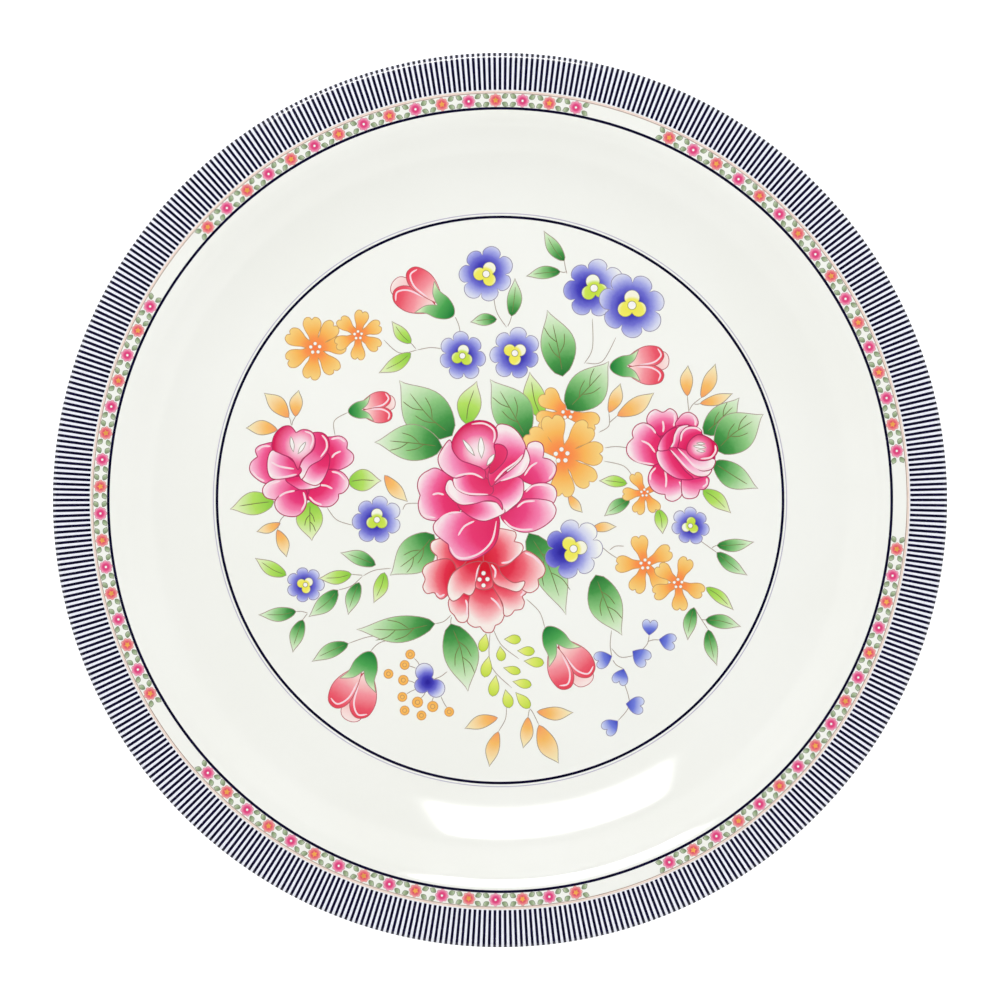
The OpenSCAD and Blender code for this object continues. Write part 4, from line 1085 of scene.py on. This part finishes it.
# ---------------------------------------------------------------- inks
def shaded_ink(name, mode, stops, curve=0.25):
    """A printed colour that runs through the stops, over the petal's own shading coordinates.

    In mode "along" it runs with the length and pales towards the sides. In mode "around" it runs
    outwards from the centre, and curve makes it pale faster to one side.
    """
    material, tree, shader, coords = new_material(name)
    uv = tree.nodes.new("ShaderNodeUVMap")
    uv.uv_map = "shading"
    parts = tree.nodes.new("ShaderNodeSeparateXYZ")
    tree.links.new(uv.outputs["UV"], parts.inputs["Vector"])
    reach = tree.nodes.new("ShaderNodeMath")
    reach.operation = "MULTIPLY_ADD"
    if mode == "along":
        square = tree.nodes.new("ShaderNodeMath")
        square.operation = "MULTIPLY"
        tree.links.new(parts.outputs["Y"], square.inputs[0])
        tree.links.new(parts.outputs["Y"], square.inputs[1])
        tree.links.new(square.outputs["Value"], reach.inputs[0])
        tree.links.new(parts.outputs["X"], reach.inputs[2])
    else:
        radius = tree.nodes.new("ShaderNodeVectorMath")
        radius.operation = "LENGTH"
        tree.links.new(uv.outputs["UV"], radius.inputs["Vector"])
        tree.links.new(parts.outputs["X"], reach.inputs[0])
        tree.links.new(radius.outputs["Value"], reach.inputs[2])
    reach.inputs[1].default_value = curve
    grain = noise(tree, coords, 900.0, 3.0)
    mottle = tree.nodes.new("ShaderNodeMath")
    mottle.operation = "MULTIPLY_ADD"
    mottle.inputs[1].default_value = 0.07
    tree.links.new(grain.outputs["Fac"], mottle.inputs[0])
    tree.links.new(reach.outputs["Value"], mottle.inputs[2])
    tint = ramp(tree, stops)
    tree.links.new(mottle.outputs["Value"], tint.inputs["Fac"])
    tree.links.new(tint.outputs["Color"], shader.inputs["Base Color"])
    add_gloss(tree, shader, coords, 0.05, 0.09, 0.03)
    return material


# Shaded inks: name, material, way the shading runs, how fast it pales to the sides, slot, CAD nodes
# it stands for, colour stops
SHADED_INKS = [
    ("rose", "rose_print", "along", 0.25, "rose_enamel", ["rose_pink_enamel"],
     [(0, (222, 30, 92)), (0.42, (233, 52, 112)), (0.64, (243, 100, 156)), (0.84, (249, 174, 206)),
      (1, (250, 234, 236))]),
    ("rose_deep", "rose_deep_print", "along", 0.25, "rose_enamel", [],
     [(0, (214, 26, 80)), (1, (232, 56, 112))]),
    ("rose_pale", "rose_pale_print", "along", 0.25, "rose_enamel", [],
     [(0, (224, 36, 98)), (0.34, (237, 76, 136)), (0.62, (246, 142, 188)), (0.86, (250, 208, 224)),
      (1, (250, 238, 238))]),
    ("magenta", "magenta_print", "along", 0.25, "rose_enamel", [],
     [(0, (222, 34, 100)), (0.4, (235, 64, 128)), (0.66, (246, 126, 174)), (0.88, (250, 192, 214)),
      (1, (250, 234, 238))]),
    ("rose_heart", "rose_heart_print", "around", 0, "rose_enamel", [],
     [(0, (250, 246, 240)), (0.3, (249, 214, 226)), (0.62, (243, 112, 162)), (1, (218, 30, 86))]),
    ("coral", "coral_print", "along", 0.25, "coral_enamel", ["peony_coral_enamel"],
     [(0, (212, 22, 44)), (0.36, (228, 48, 74)), (0.58, (240, 104, 120)), (0.8, (248, 180, 184)),
      (1, (249, 238, 232))]),
    ("bud", "bud_print", "along", 0, "coral_enamel", ["bud_coral_enamel"],
     [(0, (251, 238, 234)), (0.28, (250, 208, 206)), (0.55, (246, 148, 158)), (0.82, (238, 92, 110)),
      (1, (232, 72, 90))]),
    ("calyx", "calyx_print", "along", 0.1, "dark_green_enamel", ["bud_calyx_enamel"],
     [(0.05, (28, 124, 56)), (0.45, (78, 166, 84)), (0.8, (150, 206, 140)), (1, (214, 234, 190))]),
    ("pansy", "pansy_print", "around", 0, "blue_enamel", ["pansy_blue_enamel"],
     [(0.1, (46, 38, 158)), (0.3, (70, 66, 186)), (0.47, (112, 112, 210)), (0.63, (166, 170, 230)),
      (0.78, (214, 217, 240)), (1, (245, 246, 241))]),
    ("yellow_heart", "yellow_print", "around", 0.5, "yellow_enamel", ["pansy_yellow_centres"],
     [(0, (240, 232, 76)), (0.7, (242, 236, 104)), (1, (248, 246, 224))]),
    ("lime_heart", "lime_heart_print", "around", 0.5, "lime_enamel", [],
     [(0, (192, 222, 54)), (0.7, (208, 230, 90)), (1, (247, 248, 230))]),
    ("blossom", "blossom_print", "around", 0, "orange_enamel", ["blossom_orange_enamel"],
     [(0.1, (251, 126, 72)), (0.36, (251, 152, 80)), (0.62, (250, 184, 92)), (1, (248, 212, 130))]),
    ("orange_leaf", "orange_leaf_print", "along", 0.1, "orange_enamel", ["orange_leaf_enamel"],
     [(0, (248, 154, 98)), (0.4, (249, 190, 104)), (1, (248, 240, 198))]),
    ("berry", "berry_print", "around", 0, "orange_enamel", ["berry_orange_enamel"],
     [(0, (251, 196, 104)), (1, (248, 180, 84))]),
    ("heart", "heart_print", "along", 0.1, "blue_enamel", ["heart_blue_enamel"],
     [(0, (56, 66, 194)), (0.5, (112, 126, 220)), (1, (208, 216, 243))]),
    ("dark_leaf", "dark_leaf_print", "along", 0.08, "dark_green_enamel", ["dark_leaf_enamel"],
     [(0.02, (34, 110, 50)), (0.28, (74, 153, 76)), (0.55, (142, 201, 130)), (0.8, (202, 230, 186)),
      (1, (232, 242, 222))]),
    ("lime_leaf", "lime_leaf_print", "along", 0.08, "lime_enamel", ["lime_leaf_enamel"],
     [(0, (128, 200, 60)), (0.5, (182, 225, 100)), (1, (238, 244, 206))]),
    ("seed", "seed_print", "along", 0.1, "yellow_enamel", ["seed_yellow_enamel"],
     [(0, (238, 240, 180)), (0.45, (224, 236, 110)), (1, (196, 222, 74))]),
    ("sage", "sage_print", "along", 0.1, "sage_enamel", ["border_leaves"],
     [(0, (112, 130, 92)), (0.6, (164, 184, 146)), (1, (206, 216, 188))]),
    ("border_pink", "border_pink_print", "around", 0, "rose_enamel", ["border_pink_flowers"],
     [(0, (222, 44, 110)), (0.55, (228, 78, 134)), (0.85, (238, 148, 178)), (1, (246, 208, 218))]),
    ("border_coral", "border_coral_print", "around", 0, "coral_enamel", ["border_coral_flowers"],
     [(0, (234, 84, 90)), (0.55, (231, 94, 108)), (0.85, (240, 150, 154)), (1, (246, 208, 204))]),
]
# Flat inks: name, material, colour, slot, CAD nodes it stands for
FLAT_INKS = [
    ("line_rose", "rose_key_print", (184, 48, 96), "rose_enamel", []),
    ("line_coral", "coral_key_print", (196, 92, 100), "coral_enamel", []),
    ("line_violet", "violet_key_print", (150, 142, 176), "blue_enamel", []),
    ("line_olive", "olive_key_print", (146, 142, 84), "yellow_enamel", []),
    ("line_orange", "orange_key_print", (216, 162, 104), "orange_enamel", []),
    ("line_vein", "vein_key_print", (124, 128, 78), "dark_green_enamel", []),
    ("line_brown", "brown_key_print", (174, 156, 140), "brown_enamel", ["stem_brown_enamel"]),
    ("line_sage", "sage_key_print", (126, 136, 112), "sage_enamel", []),
    ("line_border_pink", "border_pink_key_print", (222, 112, 152), "rose_enamel", []),
    ("line_border_coral", "border_coral_key_print", (224, 128, 120), "coral_enamel", []),
    ("border_star", "border_star_print", (251, 178, 88), "orange_enamel", ["border_star_centres"]),
]


def flower_inks():
    """Every ink of the bouquet and the border: its material, its slot and the CAD nodes it stands for."""
    white = line_ink("white_print", (250, 248, 246), (246, 243, 240))
    light = line_ink("rose_light_print", (252, 226, 232), (250, 214, 224))
    inks = {
        "white_dot": (white, "clear_glaze", []),
        "border_dot": (white, "clear_glaze", []),
        "rose_light": (light, "rose_enamel", []),
    }
    for ink, name, mode, curve, slot, nodes, stops in SHADED_INKS:
        inks[ink] = (shaded_ink(name, mode, stops, curve), slot, nodes)
    for ink, name, rgb, slot, nodes in FLAT_INKS:
        inks[ink] = (line_ink(name, rgb, tuple(int(0.9 * c) for c in rgb)), slot, nodes)
    return inks


# ---------------------------------------------------------------- light, floor, camera
# Heights and widths here are metres, as no piece of the plate is made from them
FLOOR_HALF = 3.0
FLOOR_Z = -0.00002
SOFTBOX_HEIGHT = 1.25
CEILING_HEIGHT = 3.5
CAMERA_HEIGHT = 2.5
VIEW_WIDTH = 0.3017

# Light panels: tilts off the vertical of the near and far edge, with the directions each edge
# spans, and the share of the panel over which the near, far and side edges fade
SOFTBOX = ((13.5, 71, 128), (44, 79, 121), (0.27, 0.16, 0.1))
CEILING = ((0.5, 0, 360), (50, 0, 360), None)
PANEL_ROWS = 24
PANEL_STEPS = 48


def make_floor():
    """A plain pale sweep. It glows a little, as a lit studio table does.

    It is one-sided: from below it is clear, so that the foot and the underside can be looked at.
    """
    mesh = bpy.data.meshes.new("studio_floor")
    signs = ((-1, -1), (1, -1), (1, 1), (-1, 1))
    mesh.from_pydata([(x * FLOOR_HALF, y * FLOOR_HALF, FLOOR_Z) for x, y in signs], [], [(0, 1, 2, 3)])
    material, tree, shader, coords = new_material("studio_floor_white")
    drift = noise(tree, coords, 1.5)
    tint = ramp(tree, [(0.3, (248, 248, 248)), (0.7, (251, 251, 251))])
    tree.links.new(drift.outputs["Fac"], tint.inputs["Fac"])
    tree.links.new(tint.outputs["Color"], shader.inputs["Base Color"])
    shader.inputs["Roughness"].default_value = 0.9
    shader.inputs["Emission Color"].default_value = (1.0, 1.0, 1.0, 1.0)
    shader.inputs["Emission Strength"].default_value = 0.55
    side = tree.nodes.new("ShaderNodeNewGeometry")
    clear = tree.nodes.new("ShaderNodeBsdfTransparent")
    sided = tree.nodes.new("ShaderNodeMixShader")
    tree.links.new(side.outputs["Backfacing"], sided.inputs["Fac"])
    tree.links.new(shader.outputs["BSDF"], sided.inputs[1])
    tree.links.new(clear.outputs["BSDF"], sided.inputs[2])
    tree.links.new(sided.outputs["Shader"], tree.nodes["Material Output"].inputs["Surface"])
    mesh.materials.append(material)
    floor = bpy.data.objects.new("studio_floor", mesh)
    bpy.context.scene.collection.objects.link(floor)
    floor.visible_diffuse = False
    floor.visible_glossy = False
    floor.visible_shadow = False


def make_lights():
    """An even pale surround, a softbox above the far side of the plate and a dark card overhead.

    The softbox is two panels in one place: one that only lights, and a stronger one that is only
    seen in reflections. The dark card is only seen in reflections too, and keeps the inks deep.
    """
    world = bpy.data.worlds.new("studio")
    world.use_nodes = True
    background = world.node_tree.nodes["Background"]
    background.inputs["Color"].default_value = (1.0, 1.0, 0.995, 1.0)
    background.inputs["Strength"].default_value = 0.875
    bpy.context.scene.world = world
    fill = sector_panel("softbox_fill", SOFTBOX_HEIGHT, SOFTBOX, lamp_material("softbox_fill_light", 5.6))
    fill.visible_glossy = False
    shine = lamp_material("softbox_glare_light", 24.0)
    glare = sector_panel("softbox_glare", SOFTBOX_HEIGHT, SOFTBOX, shine)
    glare.visible_diffuse = False
    glare.visible_shadow = False
    cloth = lamp_material("dark_ceiling_cloth", 0.02)
    flag = sector_panel("dark_ceiling", CEILING_HEIGHT, CEILING, cloth)
    flag.visible_diffuse = False
    flag.visible_shadow = False


def fading(share, width):
    """How strongly a panel glows at a share of the way in from its edge."""
    return min(1.0, share / width) ** 3


def sector_panel(name, height, shape, material):
    """A light panel shaped like a piece of a ring, facing down, with soft edges."""
    near, far, fades = shape
    points, glow = [], []
    for k in range(PANEL_ROWS + 1):
        v = k / PANEL_ROWS
        tilt, start, end = (a + (b - a) * v for a, b in zip(near, far))
        reach = height * math.tan(math.radians(tilt))
        for i in range(PANEL_STEPS + 1):
            u = i / PANEL_STEPS
            a = math.radians(start + (end - start) * u)
            points.append((reach * math.cos(a), reach * math.sin(a), height))
            if fades:
                ends = fading(v, fades[0]) * fading(1 - v, fades[1])
                glow.append(ends * fading(u, fades[2]) * fading(1 - u, fades[2]))
    faces = []
    for k in range(PANEL_ROWS):
        for a in range(k * (PANEL_STEPS + 1), (k + 1) * (PANEL_STEPS + 1) - 1):
            b = a + PANEL_STEPS + 1
            faces.append((a, a + 1, b + 1, b))
    mesh = bpy.data.meshes.new(name)
    mesh.from_pydata(points, [], faces)
    mesh.materials.append(material)
    layer = mesh.attributes.new("glow", "FLOAT", "POINT")
    layer.data.foreach_set("value", glow or [1.0] * len(points))
    panel = bpy.data.objects.new(name, mesh)
    bpy.context.scene.collection.objects.link(panel)
    panel.visible_camera = False
    return panel


def lamp_material(name, strength):
    """White light with a slight cloudiness, as diffusion cloth gives, that fades at the panel's edge."""
    material = bpy.data.materials.new(name)
    material.use_nodes = True
    tree = material.node_tree
    tree.nodes.remove(tree.nodes["Principled BSDF"])
    coords = tree.nodes.new("ShaderNodeTexCoord")
    cloud = noise(tree, coords, 1.2)
    spread = tree.nodes.new("ShaderNodeMapRange")
    spread.inputs["To Min"].default_value = 0.95 * strength
    spread.inputs["To Max"].default_value = 1.05 * strength
    tree.links.new(cloud.outputs["Fac"], spread.inputs["Value"])
    edge = tree.nodes.new("ShaderNodeAttribute")
    edge.attribute_name = "glow"
    level = tree.nodes.new("ShaderNodeMath")
    level.operation = "MULTIPLY"
    tree.links.new(spread.outputs["Result"], level.inputs[0])
    tree.links.new(edge.outputs["Fac"], level.inputs[1])
    glow = tree.nodes.new("ShaderNodeEmission")
    tree.links.new(level.outputs["Value"], glow.inputs["Strength"])
    tree.links.new(glow.outputs["Emission"], tree.nodes["Material Output"].inputs["Surface"])
    return material


def make_camera():
    """Straight down on the plate from 2.5 m above the rim, with a long lens."""
    data = bpy.data.cameras.new("camera")
    data.sensor_width = 36.0
    data.lens = data.sensor_width * CAMERA_HEIGHT / VIEW_WIDTH
    data.clip_end = 10.0
    camera = bpy.data.objects.new("camera", data)
    camera.location = (0.0, 0.0, CAMERA_HEIGHT + TURN_END[1] * MM)
    bpy.context.scene.collection.objects.link(camera)
    bpy.context.scene.camera = camera


bpy.context.scene.view_settings.view_transform = "Standard"
glaze = glaze_material("clear_glaze_face", (247, 248, 243), (245, 246, 240), (243, 245, 254))
foot_glaze = glaze_material("clear_glaze_back", (246, 246, 241), (242, 243, 237), (244, 245, 239))
navy = line_ink("navy_print", (20, 16, 54), (10, 8, 38))
make_body(bisque_material(), glaze, foot_glaze)
make_stripes(navy)
make_rings(
    navy,
    line_ink("peach_print", (243, 226, 216), (238, 219, 208)),
    line_ink("brown_print", (176, 150, 132), (160, 132, 116)),
    line_ink("grey_print", (200, 197, 212), (190, 186, 204)))
inks = flower_inks()
paint_border().make_pieces("border_art_", inks)
paint_bouquet().make_pieces("bouquet_art_", inks)
make_floor()
make_lights()
make_camera()
